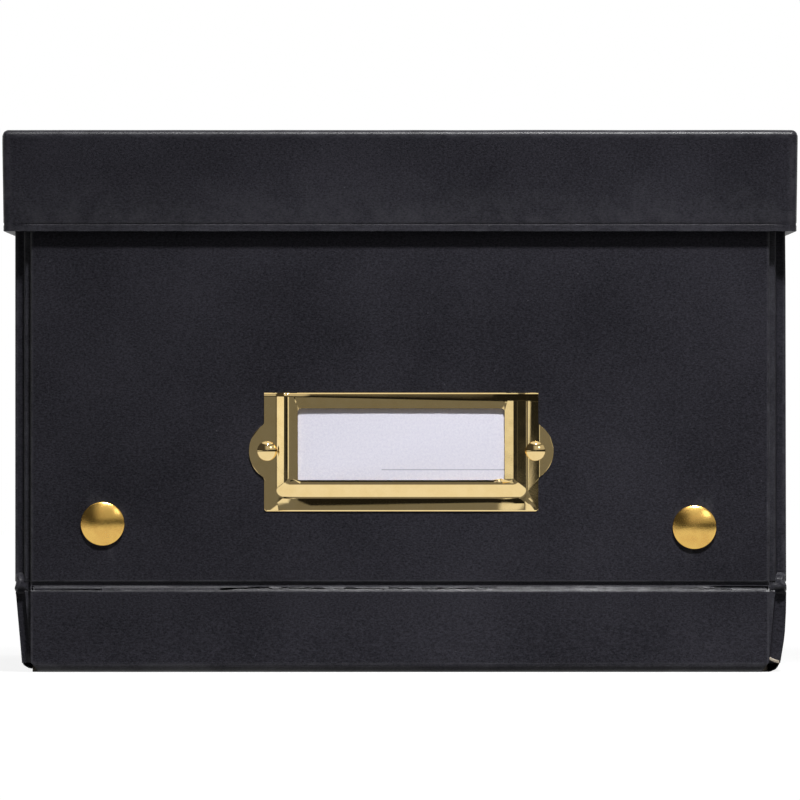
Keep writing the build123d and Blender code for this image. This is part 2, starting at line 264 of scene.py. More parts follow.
def join_up(pieces: Sequence[bpy.types.Object], name: str) -> bpy.types.Object:
    """Joins several pieces into one.

    Args:
        pieces: The pieces, of which the first one stays.
        name: The joined piece's name.

    Returns:
        The joined piece.
    """
    put_down()
    for piece in pieces:
        piece.select_set(True)
    bpy.context.view_layer.objects.active = pieces[0]
    bpy.ops.object.join()
    pieces[0].name = name
    put_down()
    return pieces[0]


def add_object(name: str, data: bpy.types.ID) -> bpy.types.Object:
    """Puts a new object into the scene.

    Args:
        name: Its name.
        data: Its mesh, camera or light.

    Returns:
        The object.
    """
    added = bpy.data.objects.new(name, data)
    bpy.context.scene.collection.objects.link(added)
    return added


def copy_of(piece: bpy.types.Object, name: str) -> bpy.types.Object:
    """A new object with its own copy of a mesh.

    Args:
        piece: The piece or CAD node that is copied.
        name: The copy's name.

    Returns:
        The copy.
    """
    copy = add_object(name, piece.data.copy())
    copy.data.materials.clear()
    return copy


def open_copy(node: str, name: str) -> bpy.types.Object:
    """Copies a CAD node and opens the copy in edit mode with its facets merged.

    Args:
        node: The CAD node.
        name: The copy's name.

    Returns:
        The copy, in edit mode.
    """
    piece = copy_of(frame["nodes"][node], name)
    take_up(piece)
    bpy.ops.mesh.customdata_custom_splitnormals_clear()
    merge_doubles()
    return piece


def shift_mesh(piece: bpy.types.Object, x: float = 0.0, y: float = 0.0, z: float = 0.0) -> None:
    """Moves a whole piece within its mesh, so that its object stays at the origin.

    Args:
        piece: The piece.
        x: Metres along X.
        y: Metres along Y.
        z: Metres along Z.
    """
    take_up(piece)
    bpy.ops.mesh.select_all(action="SELECT")
    slide(x, y, z)
    put_down()


def steps(start: float, end: float, pitch: float) -> List[float]:
    """Even places between two ends.

    Args:
        start: The first place.
        end: The last place.
        pitch: About how far they lie apart.

    Returns:
        The places, with both ends.
    """
    count = max(1, round((end - start) / pitch))
    return [start + (end - start) * i / count for i in range(count + 1)]


def ramp(value: float, start: float, end: float) -> float:
    """How far a value has come from start to end, from 0 to 1, with soft ends."""
    share = min(1.0, max(0.0, (value - start) / (end - start)))
    return share * share * (3 - 2 * share)


def between(pairs: Sequence[Tuple[float, float]], place: float) -> float:
    """Reads a value off a line through pairs of place and value.

    Args:
        pairs: The pairs, in rising order of place.
        place: Where the line is read.

    Returns:
        The value there.
    """
    if place <= pairs[0][0]:
        return pairs[0][1]
    for (one, at_one), (two, at_two) in zip(pairs, pairs[1:]):
        if place <= two:
            return at_one + (at_two - at_one) * (place - one) / (two - one)
    return pairs[-1][1]


def weigh(piece: bpy.types.Object, weight: Weight) -> str:
    """Stores a weight on a piece's vertices for the next modifier.

    Args:
        piece: The piece.
        weight: Takes a vertex's place and gives a share from 0 to 1.

    Returns:
        The vertex group's name.
    """
    group = piece.vertex_groups.new(name="weight")
    for vertex in piece.data.vertices:
        share = weight(vertex.co)
        if share > 0:
            group.add([vertex.index], share, "REPLACE")
    return group.name


def push(piece: bpy.types.Object, direction: str, distance: float, weight: Weight) -> None:
    """Moves a piece's surface along one axis, more where the weight is higher.

    Args:
        piece: The piece.
        direction: "X", "Y" or "Z".
        distance: How far it moves at full weight, in metres.
        weight: Takes a vertex's place and gives a share from 0 to 1.
    """
    modifier = piece.modifiers.new("push", "DISPLACE")
    modifier.direction = direction
    modifier.mid_level = 0.0
    modifier.strength = distance
    modifier.vertex_group = weigh(piece, weight)
    apply_modifier(piece, modifier)
    piece.vertex_groups.clear()


def even_normals(piece: bpy.types.Object) -> None:
    """Lets flat faces shade flat beside their rounded edges.

    Args:
        piece: The finished, smoothed piece.
    """
    modifier = piece.modifiers.new("even", "WEIGHTED_NORMAL")
    modifier.keep_sharp = True
    modifier.weight = 50
    apply_modifier(piece, modifier)


def thicken(piece: bpy.types.Object, thickness: float) -> None:
    """Gives a sheet its thickness, behind its face.

    Args:
        piece: The sheet.
        thickness: The thickness in metres.
    """
    modifier = piece.modifiers.new("sheet", "SOLIDIFY")
    modifier.thickness = thickness
    modifier.offset = -1
    apply_modifier(piece, modifier)


def ruffle(piece: bpy.types.Object, size: float, depth: float, weight: Weight) -> None:
    """Moves a sheet by a soft noise along each axis, more where the weight is higher.

    Args:
        piece: The piece.
        size: How large the noise's lumps are, in metres.
        depth: The whole range of the movement, in metres.
        weight: Takes a vertex's place and gives a share from 0 to 1.
    """
    texture = bpy.data.textures.new(piece.name + "_noise", "CLOUDS")
    texture.noise_scale = size
    texture.noise_depth = 2
    texture.cloud_type = "COLOR"
    modifier = piece.modifiers.new("ruffle", "DISPLACE")
    modifier.texture = texture
    modifier.texture_coords = "LOCAL"
    modifier.direction = "RGB_TO_XYZ"
    modifier.mid_level = 0.5
    modifier.strength = depth
    modifier.vertex_group = weigh(piece, weight)
    apply_modifier(piece, modifier)
    piece.vertex_groups.clear()


def mark_wear(piece: bpy.types.Object, radius: float = 1.2 * MM) -> None:
    """Stores how sharply the surface turns outwards at each vertex, for the wear along edges.

    Args:
        piece: The finished piece.
        radius: The edge radius, in metres, that counts as full wear.
    """
    mesh = bmesh.new()
    mesh.from_mesh(piece.data)
    mesh.verts.ensure_lookup_table()
    wear = []
    for vertex in mesh.verts:
        turn = 0.0
        for edge in vertex.link_edges:
            other = edge.other_vert(vertex)
            along = other.co - vertex.co
            length = max(along.length, TIGHT)
            turn = max(turn, (other.normal - vertex.normal).dot(along) / length**2)
        wear.append(min(1.0, max(0.0, turn * radius)))
    mesh.free()
    attribute = piece.data.attributes.new("wear", "FLOAT", "POINT")
    attribute.data.foreach_set("value", wear)


# Shader building


class Wiring:
    """Adds and links the nodes of one shader tree."""

    def __init__(self, tree: bpy.types.NodeTree) -> None:
        """Starts on a tree.

        Args:
            tree: A material's or a group's node tree.
        """
        self.tree = tree

    def add(self, kind: str, inputs: Dict[str, object] = None, **settings: object) -> bpy.types.Node:
        """Adds a node.

        Args:
            kind: The node's type name.
            inputs: Values or sockets for its inputs, by name or place.
            **settings: The node's own properties.

        Returns:
            The node.
        """
        node = self.tree.nodes.new(kind)
        for name, value in settings.items():
            setattr(node, name, value)
        for key, value in (inputs or {}).items():
            self.feed(node.inputs[key], value)
        return node

    def feed(self, socket: bpy.types.NodeSocket, value: object) -> None:
        """Links a socket, or sets a plain value on it.

        Args:
            socket: The input.
            value: Another node's output, or a number, colour or vector.
        """
        if isinstance(value, bpy.types.NodeSocket):
            self.tree.links.new(value, socket)
        else:
            socket.default_value = value

    def maths(
        self, operation: str, one: object, two: object = 0.0, clamp: bool = False
    ) -> bpy.types.NodeSocket:
        """A number worked out from one or two others.

        Args:
            operation: Blender's name of the operation.
            one: First value or socket.
            two: Second value or socket.
            clamp: Whether the answer is kept from 0 to 1.

        Returns:
            The answer's socket.
        """
        node = self.add("ShaderNodeMath", {0: one, 1: two}, operation=operation, use_clamp=clamp)
        return node.outputs[0]

    def noise(
        self, vector: object, scale: object, detail: float = 3.0, roughness: float = 0.55
    ) -> bpy.types.NodeSocket:
        """A cloud noise from 0 to 1.

        Args:
            vector: Where it is read.
            scale: How many lumps there are in a metre.
            detail: How many finer layers it has.
            roughness: How strong the finer layers are.

        Returns:
            The noise's socket.
        """
        given = {"Vector": vector, "Scale": scale, "Detail": detail, "Roughness": roughness}
        node = self.add("ShaderNodeTexNoise", given)
        return node.outputs["Fac"]

    def level(
        self, value: object, low: float, high: float, to_low: float = 0.0, to_high: float = 1.0
    ) -> bpy.types.NodeSocket:
        """A value moved from one range to another and kept inside it.

        Args:
            value: The value's socket.
            low: What becomes to_low.
            high: What becomes to_high.
            to_low: The new range's start.
            to_high: The new range's end.

        Returns:
            The new value's socket.
        """
        node = self.add(
            "ShaderNodeMapRange",
            {"Value": value, "From Min": low, "From Max": high, "To Min": to_low, "To Max": to_high},
        )
        return node.outputs["Result"]

    def blend(self, share: object, one: object, two: object) -> bpy.types.NodeSocket:
        """A colour between two others.

        Args:
            share: 0 for the first colour and 1 for the second.
            one: First colour or socket.
            two: Second colour or socket.

        Returns:
            The colour's socket.
        """
        node = self.add("ShaderNodeMix", data_type="RGBA")
        self.feed(node.inputs["Factor"], share)
        self.feed(node.inputs[6], one)
        self.feed(node.inputs[7], two)
        return node.outputs[2]

    def stops(
        self, value: object, pairs: Sequence[Tuple[float, float]], tint: Tuple[float, float, float]
    ) -> bpy.types.NodeSocket:
        """A tinted grey read off a row of colour stops.

        Args:
            value: Where it is read, from 0 to 1.
            pairs: Each stop's place and brightness.
            tint: The brightest grey's colour.

        Returns:
            The colour's socket.
        """
        node = self.add("ShaderNodeValToRGB", {"Fac": value})
        elements = node.color_ramp.elements
        while len(elements) < len(pairs):
            elements.new(0.5)
        for element, (place, bright) in zip(elements, pairs):
            element.position = place
            element.color = (*(bright * share for share in tint), 1.0)
        return node.outputs["Color"]

    def choose(self, share: object, one: bpy.types.Node, two: bpy.types.Node) -> bpy.types.Node:
        """Mixes the shaders of two nodes, all the second one where the share is 1."""
        return self.add("ShaderNodeMixShader", {0: share, 1: one.outputs[0], 2: two.outputs[0]})

    def bump(self, shader: bpy.types.Node, height: object, distance: float) -> None:
        """Lets a Principled node shade as if its surface had a relief.

        Args:
            shader: The Principled node.
            height: The relief's height from 0 to 1.
            distance: How high 1 is, in metres.
        """
        bump = self.add("ShaderNodeBump", {"Height": height, "Distance": distance})
        self.feed(shader.inputs["Normal"], bump.outputs["Normal"])

    def group(self, tree: bpy.types.NodeTree, inputs: Dict[str, object]) -> bpy.types.Node:
        """Places a node group.

        Args:
            tree: The group.
            inputs: Values or sockets for its inputs, by name.

        Returns:
            The group's node.
        """
        node = self.add("ShaderNodeGroup", node_tree=tree)
        for name, value in inputs.items():
            self.feed(node.inputs[name], value)
        return node


def fresh_wiring(owner: bpy.types.ID) -> Wiring:
    """Gives a material or world an empty node tree.

    Args:
        owner: The material or world.

    Returns:
        The wiring of its tree.
    """
    owner.use_nodes = True
    owner.node_tree.nodes.clear()
    return Wiring(owner.node_tree)


def new_group(
    name: str, inputs: Dict[str, str], outputs: Dict[str, str]
) -> Tuple[Wiring, bpy.types.Node, bpy.types.Node]:
    """Starts a shader node group.

    Args:
        name: The group's name.
        inputs: Socket type by input name.
        outputs: Socket type by output name.

    Returns:
        The wiring of its tree, and its input and output nodes.
    """
    tree = bpy.data.node_groups.new(name, "ShaderNodeTree")
    for key, kind in inputs.items():
        tree.interface.new_socket(name=key, in_out="INPUT", socket_type=kind)
    for key, kind in outputs.items():
        tree.interface.new_socket(name=key, in_out="OUTPUT", socket_type=kind)
    wiring = Wiring(tree)
    return wiring, wiring.add("NodeGroupInput"), wiring.add("NodeGroupOutput")


def new_material(name: str) -> Tuple[bpy.types.Material, Wiring, bpy.types.Node, bpy.types.NodeSocket]:
    """Starts a material with one Principled shader.

    Args:
        name: The material's name.

    Returns:
        The material, its wiring, its Principled node and its Object coordinates.
    """
    material = bpy.data.materials.new(name)
    wiring = fresh_wiring(material)
    shader = wiring.add("ShaderNodeBsdfPrincipled")
    wiring.add("ShaderNodeOutputMaterial", {"Surface": shader.outputs["BSDF"]})
    place = wiring.add("ShaderNodeTexCoord").outputs["Object"]
    return material, wiring, shader, place


FLOAT = "NodeSocketFloat"
VECTOR = "NodeSocketVector"


class Effects:
    """The surface effects that several finishes share, each a node group that is built once."""

    def __init__(self) -> None:
        """Builds the groups."""
        self.grain = self.build_grain()
        self.wear = self.build_wear()
        self.dust = self.build_dust()
        self.handling = self.build_handling()

    @staticmethod
    def build_grain() -> bpy.types.NodeTree:
        """Fine paper grain with short strokes that lie level.

        Returns:
            The group, which gives a shade and a height.
        """
        wiring, given, out = new_group(
            "paper_grain",
            {"Place": VECTOR, "Fineness": FLOAT, "Stretch": FLOAT},
            {"Shade": FLOAT, "Height": FLOAT},
        )
        stretch = wiring.add("ShaderNodeCombineXYZ", {"X": 1.0, "Y": 1.0, "Z": given.outputs["Stretch"]})
        strokes = wiring.add(
            "ShaderNodeVectorMath", {0: given.outputs["Place"], 1: stretch.outputs[0]}, operation="MULTIPLY"
        ).outputs[0]
        coarse = wiring.noise(strokes, given.outputs["Fineness"], 4.0, 0.65)
        finer = wiring.maths("MULTIPLY", given.outputs["Fineness"], 2.7)
        fine = wiring.noise(given.outputs["Place"], finer, 2.0, 0.6)
        mixed = wiring.maths("MULTIPLY_ADD", coarse, 0.62)
        wiring.feed(mixed.node.inputs[2], wiring.maths("MULTIPLY", fine, 0.38))
        wiring.feed(out.inputs["Shade"], wiring.level(mixed, 0.36, 0.64))
        wiring.feed(out.inputs["Height"], mixed)
        return wiring.tree

    @staticmethod
    def build_wear() -> bpy.types.NodeTree:
        """Wear along edges, broken up into patches.

        Returns:
            The group, which gives a mask.
        """
        wiring, given, out = new_group(
            "edge_wear", {"Place": VECTOR, "Edge": FLOAT, "Patches": FLOAT}, {"Mask": FLOAT}
        )
        patches = wiring.noise(given.outputs["Place"], given.outputs["Patches"], 5.0, 0.7)
        broken = wiring.level(patches, 0.38, 0.66)
        edge = wiring.level(given.outputs["Edge"], 0.12, 0.9)
        wiring.feed(out.inputs["Mask"], wiring.maths("MULTIPLY", edge, broken, True))
        return wiring.tree

    @staticmethod
    def build_dust() -> bpy.types.NodeTree:
        """Sparse small specks.

        Returns:
            The group, which gives a mask.
        """
        wiring, given, out = new_group(
            "dust", {"Place": VECTOR, "Fineness": FLOAT, "Amount": FLOAT}, {"Mask": FLOAT}
        )
        cells = wiring.add(
            "ShaderNodeTexVoronoi", {"Vector": given.outputs["Place"], "Scale": given.outputs["Fineness"]}
        )
        choice = wiring.add("ShaderNodeSeparateColor", {"Color": cells.outputs["Color"]}).outputs[0]
        chosen = wiring.maths("LESS_THAN", choice, given.outputs["Amount"])
        near = wiring.level(cells.outputs["Distance"], 0.05, 0.16, 1.0, 0.0)
        wiring.feed(out.inputs["Mask"], wiring.maths("MULTIPLY", chosen, near, True))
        return wiring.tree

    @staticmethod
    def build_handling() -> bpy.types.NodeTree:
        """Smudges and hairline scratches of handled metal.

        Returns:
            The group, which gives a smudge mask and a height.
        """
        wiring, given, out = new_group(
            "handling", {"Place": VECTOR, "Fineness": FLOAT}, {"Smudge": FLOAT, "Height": FLOAT}
        )
        smudge = wiring.noise(given.outputs["Place"], given.outputs["Fineness"], 3.0, 0.6)
        finer = wiring.maths("MULTIPLY", given.outputs["Fineness"], 9.0)
        pits = wiring.noise(given.outputs["Place"], finer, 2.0, 0.5)
        slower = wiring.maths("MULTIPLY", given.outputs["Fineness"], 0.7)
        waves = wiring.noise(given.outputs["Place"], slower, 0.0)
        wiring.feed(out.inputs["Smudge"], wiring.level(smudge, 0.4, 0.7))
        wiring.feed(out.inputs["Height"], wiring.maths("ADD", pits, wiring.maths("MULTIPLY", waves, 9.0)))
        return wiring.tree


# Finishes


@dataclass(frozen=True)
class PaperFinish:
    """A dyed paper with a pressed grain.

    Attributes:
        name: The material's name.
        dark: Colour in the grain's hollows.
        light: Colour on the grain's ridges.
        worn: Colour where an edge is rubbed.
        fineness: Grain lumps in a metre.
        stretch: How many times longer than high a stroke is.
        roughness: How matt the paper is.
        gloss: How strongly it reflects, 0.5 being a plain varnish.
        rubbing: How shiny rubbed edges are.
        relief: How high the grain stands, in metres.
        speck_share: The share of cells that hold a light speck.
    """

    name: str
    dark: Colour
    light: Colour
    worn: Colour
    fineness: float
    stretch: float
    roughness: float
    gloss: float
    rubbing: float
    relief: float
    speck_share: float

    def material(self, effects: Effects) -> bpy.types.Material:
        """Makes the paper's material.

        Args:
            effects: The shared node groups.

        Returns:
            The material.
        """
        material, wiring, shader, place = new_material(self.name)
        grain = wiring.group(
            effects.grain, {"Place": place, "Fineness": self.fineness, "Stretch": self.stretch}
        )
        edge = wiring.add("ShaderNodeAttribute", attribute_name="wear").outputs["Fac"]
        wear = wiring.group(effects.wear, {"Place": place, "Edge": edge, "Patches": self.fineness / 6})
        specks = wiring.group(
            effects.dust, {"Place": place, "Fineness": self.fineness / 2, "Amount": self.speck_share}
        )
        cloud = wiring.level(wiring.noise(place, 28.0, 2.0), 0.3, 0.7, 0.0, 0.35)
        shade = wiring.maths("ADD", grain.outputs["Shade"], wiring.maths("SUBTRACT", cloud, 0.17), True)
        paper = wiring.blend(shade, self.dark, self.light)
        rubbed = wiring.blend(wiring.maths("MULTIPLY", wear.outputs["Mask"], 0.22), paper, self.worn)
        dusty = wiring.blend(wiring.maths("MULTIPLY", specks.outputs["Mask"], 0.5), rubbed, self.worn)
        wiring.feed(shader.inputs["Base Color"], dusty)
        shader.inputs["Specular IOR Level"].default_value = self.gloss
        polished = wiring.maths("MULTIPLY", wiring.level(edge, 0.25, 0.85), self.rubbing)
        uneven = wiring.level(wiring.noise(place, 140.0, 2.0), 0.3, 0.65, 0.5, 1.0)
        wiring.feed(shader.inputs["Coat Weight"], wiring.maths("MULTIPLY", polished, uneven, True))
        shader.inputs["Coat Roughness"].default_value = 0.3
        spread = wiring.level(grain.outputs["Shade"], 0.0, 1.0, self.roughness + 0.06, self.roughness - 0.06)
        worn_smooth = wiring.maths("MULTIPLY", wear.outputs["Mask"], 0.08)
        wiring.feed(shader.inputs["Roughness"], wiring.maths("SUBTRACT", spread, worn_smooth))
        wiring.bump(shader, grain.outputs["Height"], self.relief)
        return material


@dataclass(frozen=True)
class BrassFinish:
    """Brass, from polished to satin.

    Attributes:
        name: The material's name.
        colour: The metal's colour.
        tarnish: Colour of its dull patches.
        roughness: How much it blurs.
        smudging: How much rougher its smudges are.
        relief: How deep its fine pitting is, in metres.
    """

    name: str
    colour: Colour
    tarnish: Colour
    roughness: float
    smudging: float
    relief: float

    def material(self, effects: Effects) -> bpy.types.Material:
        """Makes the brass material.

        Args:
            effects: The shared node groups.

        Returns:
            The material.
        """
        material, wiring, shader, place = new_material(self.name)
        use = wiring.group(effects.handling, {"Place": place, "Fineness": 240.0})
        tint = wiring.maths("MULTIPLY", use.outputs["Smudge"], 0.45)
        wiring.feed(shader.inputs["Base Color"], wiring.blend(tint, self.colour, self.tarnish))
        shader.inputs["Metallic"].default_value = 1.0
        rough = wiring.level(use.outputs["Smudge"], 0.0, 1.0, self.roughness, self.roughness + self.smudging)
        wiring.feed(shader.inputs["Roughness"], rough)
        wiring.bump(shader, use.outputs["Height"], self.relief)
        return material


@dataclass(frozen=True)
class BoardFinish:
    """Raw grey board with fibres and flecks.

    Attributes:
        name: The material's name.
        pulp: Main colour.
        fibre: Colour of the lighter fibres.
        fleck: Colour of the dark flecks.
    """

    name: str
    pulp: Colour
    fibre: Colour
    fleck: Colour

    def material(self, effects: Effects) -> bpy.types.Material:
        """Makes the board's material.

        Args:
            effects: The shared node groups.

        Returns:
            The material.
        """
        material, wiring, shader, place = new_material(self.name)
        grain = wiring.group(effects.grain, {"Place": place, "Fineness": 900.0, "Stretch": 3.0})
        flecks = wiring.group(effects.dust, {"Place": place, "Fineness": 700.0, "Amount": 0.12})
        pulp = wiring.blend(grain.outputs["Shade"], self.pulp, self.fibre)
        wiring.feed(shader.inputs["Base Color"], wiring.blend(flecks.outputs["Mask"], pulp, self.fleck))
        rough = wiring.level(grain.outputs["Shade"], 0.0, 1.0, 0.85, 0.95)
        wiring.feed(shader.inputs["Roughness"], rough)
        wiring.bump(shader, grain.outputs["Height"], 0.1 * MM)
        return material


@dataclass(frozen=True)
class CardFinish:
    """White card with one thin ruled line.

    Attributes:
        name: The material's name.
        white: The card's colour.
        shaded: Its colour in the faint mottle.
        ink: The line's colour.
        line_height: Height of the line above the floor, in metres.
        line_span: Where the line starts and ends along X, in metres.
        line_width: How thick it is, in metres.
    """

    name: str
    white: Colour
    shaded: Colour
    ink: Colour
    line_height: float
    line_span: Tuple[float, float]
    line_width: float

    def material(self, effects: Effects) -> bpy.types.Material:
        """Makes the card's material.

        Args:
            effects: The shared node groups.

        Returns:
            The material.
        """
        material, wiring, shader, place = new_material(self.name)
        grain = wiring.group(effects.grain, {"Place": place, "Fineness": 1500.0, "Stretch": 1.0})
        card = wiring.blend(grain.outputs["Shade"], self.white, self.shaded)
        parts = wiring.add("ShaderNodeSeparateXYZ", {"Vector": place})
        rise = wiring.maths("ABSOLUTE", wiring.maths("SUBTRACT", parts.outputs["Z"], self.line_height))
        level = wiring.maths("LESS_THAN", rise, self.line_width / 2)
        middle = (self.line_span[0] + self.line_span[1]) / 2
        half = (self.line_span[1] - self.line_span[0]) / 2
        along = wiring.maths("ABSOLUTE", wiring.maths("SUBTRACT", parts.outputs["X"], middle))
        inside = wiring.maths("LESS_THAN", along, half)
        ruled = wiring.maths("MULTIPLY", wiring.maths("MULTIPLY", level, inside), 0.7)
        wiring.feed(shader.inputs["Base Color"], wiring.blend(ruled, card, self.ink))
        wiring.feed(shader.inputs["Roughness"], wiring.level(grain.outputs["Shade"], 0.0, 1.0, 0.55, 0.7))
        wiring.bump(shader, grain.outputs["Height"], 0.01 * MM)
        return material


def finishes(effects: Effects) -> Dict[Slot, bpy.types.Material]:
    """Makes one material for each slot.

    Args:
        effects: The shared node groups.

    Returns:
        The materials by slot.
    """
    cover = PaperFinish(
        name="cover_paper",
        dark=srgb(16, 16, 21),
        light=srgb(52, 51, 58),
        worn=srgb(96, 96, 102),
        fineness=1300.0,
        stretch=1.9,
        roughness=0.46,
        gloss=0.1,
        rubbing=0.28,
        relief=0.045 * MM,
        speck_share=0.012,
    )
    lining = PaperFinish(
        name="lining_paper",
        dark=srgb(14, 14, 16),
        light=srgb(30, 30, 34),
        worn=srgb(70, 70, 74),
        fineness=1700.0,
        stretch=1.0,
        roughness=0.78,
        gloss=0.1,
        rubbing=0.1,
        relief=0.03 * MM,
        speck_share=0.02,
    )
    board = BoardFinish("grey_board", srgb(150, 139, 124), srgb(176, 166, 150), srgb(96, 88, 78))
    polished = BrassFinish(
        "polished_brass",
        srgb(246, 218, 158),
        srgb(236, 204, 138),
        roughness=0.04,
        smudging=0.02,
        relief=0.001 * MM,
    )
    satin = BrassFinish(
        "satin_brass",
        srgb(232, 190, 104),
        srgb(214, 160, 82),
        roughness=0.2,
        smudging=0.1,
        relief=0.012 * MM,
    )
    card = CardFinish(
        "card",
        white=srgb(243, 241, 252),
        shaded=srgb(226, 224, 240),
        ink=srgb(120, 124, 150),
        line_height=56.0 * MM,
        line_span=(-5.1 * MM, 29.1 * MM),
        line_width=0.22 * MM,
    )
    kinds = {
        Slot.COVER: cover,
        Slot.LINING: lining,
        Slot.BOARD: board,
        Slot.POLISHED: polished,
        Slot.SATIN: satin,
        Slot.CARD: card,
    }
    return {slot: kind.material(effects) for slot, kind in kinds.items()}


def dress(
    piece: bpy.types.Object,
    slot: Slot,
    materials: Dict[Slot, bpy.types.Material],
    body: str,
    nodes: Sequence[str],
) -> None:
    """Gives a new piece its finish, its body and the CAD nodes that it stands for.

    Args:
        piece: The finished piece.
        slot: Its material slot.
        materials: The materials by slot.
        body: The CAD body that it rides on.
        nodes: The CAD nodes that it replaces.
    """
    piece.data.materials.clear()
    piece.data.materials.append(materials[slot])
    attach(piece, body)
    if nodes:
        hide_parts(*nodes)
    log.info("%s: %d faces, rides on %s", piece.name, len(piece.data.polygons), body)


# Sub-assemblies


@dataclass
class PaperCover:
    """The paper round one wall and its foot, refined from its CAD node.

    Attributes:
        node: The CAD node.
        along: The direction that the wall runs in.
        crease_height: Height of the crease, in metres.
        ridge_height: Height of the foot's upper ridge.
        pitch: How far apart the cuts along the wall lie, in metres.
        wave: How far the foot's upper ridge waves in and out, in metres.
        crumple: How far the paper is crumpled where the crease meets a corner, in metres.
        corner_reach: How far the crumpling reaches from a corner, in metres.
        swell: How far the outside has bulged at given heights, as pairs in metres.
        fold_lift: How far the fold under the foot has lifted near the front, in metres.
        corner_lift: How far the foot's lower corners have lifted, in metres.
        groove: How far below the wall's face the crease lies at given heights, as pairs in metres.
        groove_fill: How far the paper in the crease is raised at most, in metres.
        groove_end: How far from the middle the side walls' crease is raised.
    """

    node: str
    along: Axis
    crease_height: float = 24.4 * MM
    ridge_height: float = 22.4 * MM
    pitch: float = 3.0 * MM
    wave: float = 0.2 * MM
    crumple: float = 0.3 * MM
    corner_reach: float = 6.0 * MM
    swell: Tuple[Tuple[float, float], ...] = ()
    fold_lift: float = 0.0
    corner_lift: float = 0.0
    groove: Tuple[Tuple[float, float], ...] = (
        (22.5 * MM, 0.05 * MM),
        (22.8 * MM, 0.2 * MM),
        (23.7 * MM, 0.62 * MM),
        (24.1 * MM, 0.72 * MM),
        (24.85 * MM, 0.6 * MM),
    )
    groove_fill: float = 1.4 * MM
    groove_end: float = 133.0 * MM

    def build(self) -> bpy.types.Object:
        """Copies the node's mesh, cuts it finer and works the paper.

        Returns:
            The paper cover.
        """
        low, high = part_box(self.node)
        start, end = low[self.along.value], high[self.along.value]
        piece = open_copy(self.node, self.node + "_paper")
        fine = 0.8 * MM
        lengthwise = steps(start + self.corner_reach, end - self.corner_reach, self.pitch)
        lengthwise += steps(start + fine, start + self.corner_reach, fine)
        lengthwise += steps(end - self.corner_reach, end - fine, fine)
        lengthwise += [start + fine / 2, end - fine / 2]
        cut(self.along, lengthwise)
        upright = steps(self.ridge_height - 2.4 * MM, self.crease_height + 2.4 * MM, 0.4 * MM)
        upright += steps(3.4 * MM, self.ridge_height - 3.4 * MM, 2.6 * MM)
        upright += [1.3 * MM, 1.7 * MM, 2.3 * MM]
        upright += steps(self.crease_height + 4 * MM, high.z - 4 * MM, 12 * MM)
        cut(Axis.Z, upright)
        put_down()
        self.fill_groove(piece)
        self.work_crease(piece, start, end)
        self.swell_out(piece)
        self.lift_fold(piece)
        self.lift_corners(piece, start, end)
        take_up(piece)
        close_up(piece, 40.0)
        mark_wear(piece)
        even_normals(piece)
        return piece

    def fill_groove(self, piece: bpy.types.Object) -> None:
        """Lets the paper lie higher in the crease, where it is glued double.

        Args:
            piece: The paper cover.
        """
        sideways = self.along is Axis.Y
        low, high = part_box(self.node.replace("cover", "wall_board"))
        outer = max(high.x, -low.x) if sideways else max(high.y, -low.y)
        facing = math.copysign(1, high.x + low.x) if sideways else math.copysign(1, high.y + low.y)
        face = outer + PAPER

        def weight(place: Vector) -> float:
            if not self.groove[0][0] < place.z < self.groove[-1][0]:
                return 0.0
            reached = abs(place.x) if sideways else abs(place.y)
            if sideways and abs(place.y) > self.groove_end:
                return 0.0
            lack = face - between(self.groove, place.z) - reached
            return min(1.0, max(0.0, lack / self.groove_fill))

        push(piece, "X" if sideways else "Y", facing * self.groove_fill, weight)

    def work_crease(self, piece: bpy.types.Object, start: float, end: float) -> None:
        """Waves the foot's upper ridge and crumples the crease near the wall's ends.

        Args:
            piece: The paper cover.
            start: The wall's one end along its direction.
            end: Its other end.
        """
        axis = self.along.value

        def at_ridge(place: Vector) -> float:
            return ramp(abs(place.z - self.ridge_height), 2.0 * MM, 0.6 * MM)

        def at_corner(place: Vector) -> float:
            from_end = min(place[axis] - start, end - place[axis])
            ends = ramp(from_end, self.corner_reach, 0.3 * self.corner_reach)
            return ends * ramp(abs(place.z - self.ridge_height - MM), 2.6 * MM, 1.0 * MM)

        ruffle(piece, 11 * MM, self.wave, at_ridge)
        ruffle(piece, 1.8 * MM, self.crumple, at_corner)

    def swell_out(self, piece: bpy.types.Object) -> None:
        """Bulges the outside of a side wall and its foot, as a filled box does.

        Args:
            piece: The paper cover.
        """
        if not self.swell:
            return
        low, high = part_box(self.node)
        outer = max(high.x, -low.x)
        most = max(amount for _, amount in self.swell)
        lean = 2.1 * MM / self.crease_height

        def weight(place: Vector) -> float:
            face = outer - lean * max(0.0, self.crease_height - place.z)
            if abs(place.x) < face - 1.2 * MM:
                return 0.0
            return between(self.swell, place.z) / most

        push(piece, "X", math.copysign(most, high.x + low.x), weight)

    def lift_fold(self, piece: bpy.types.Object) -> None:
        """Lifts the fold under the foot off the floor towards its front end.

        Args:
            piece: The paper cover.
        """
        if not self.fold_lift:
            return

        def weight(place: Vector) -> float:
            if abs(place.x) < 90 * MM:
                return 0.0
            return ramp(place.z, 2.8 * MM, 0.2 * MM) * ramp(place.y, 20 * MM, -60 * MM)

        push(piece, "Z", self.fold_lift, weight)

    def lift_corners(self, piece: bpy.types.Object, start: float, end: float) -> None:
        """Lifts the foot's lower corners off the floor, where the fold is rubbed round.

        Args:
            piece: The paper cover.
            start: The wall's one end along its direction.
            end: Its other end.
        """
        axis = self.along.value

        def weight(place: Vector) -> float:
            from_end = min(place[axis] - start, end - place[axis])
            return ramp(place.z, 3.4 * MM, 0.3 * MM) * max(0.0, 1 - from_end / (1.8 * MM))

        if self.corner_lift:
            push(piece, "Z", self.corner_lift, weight)


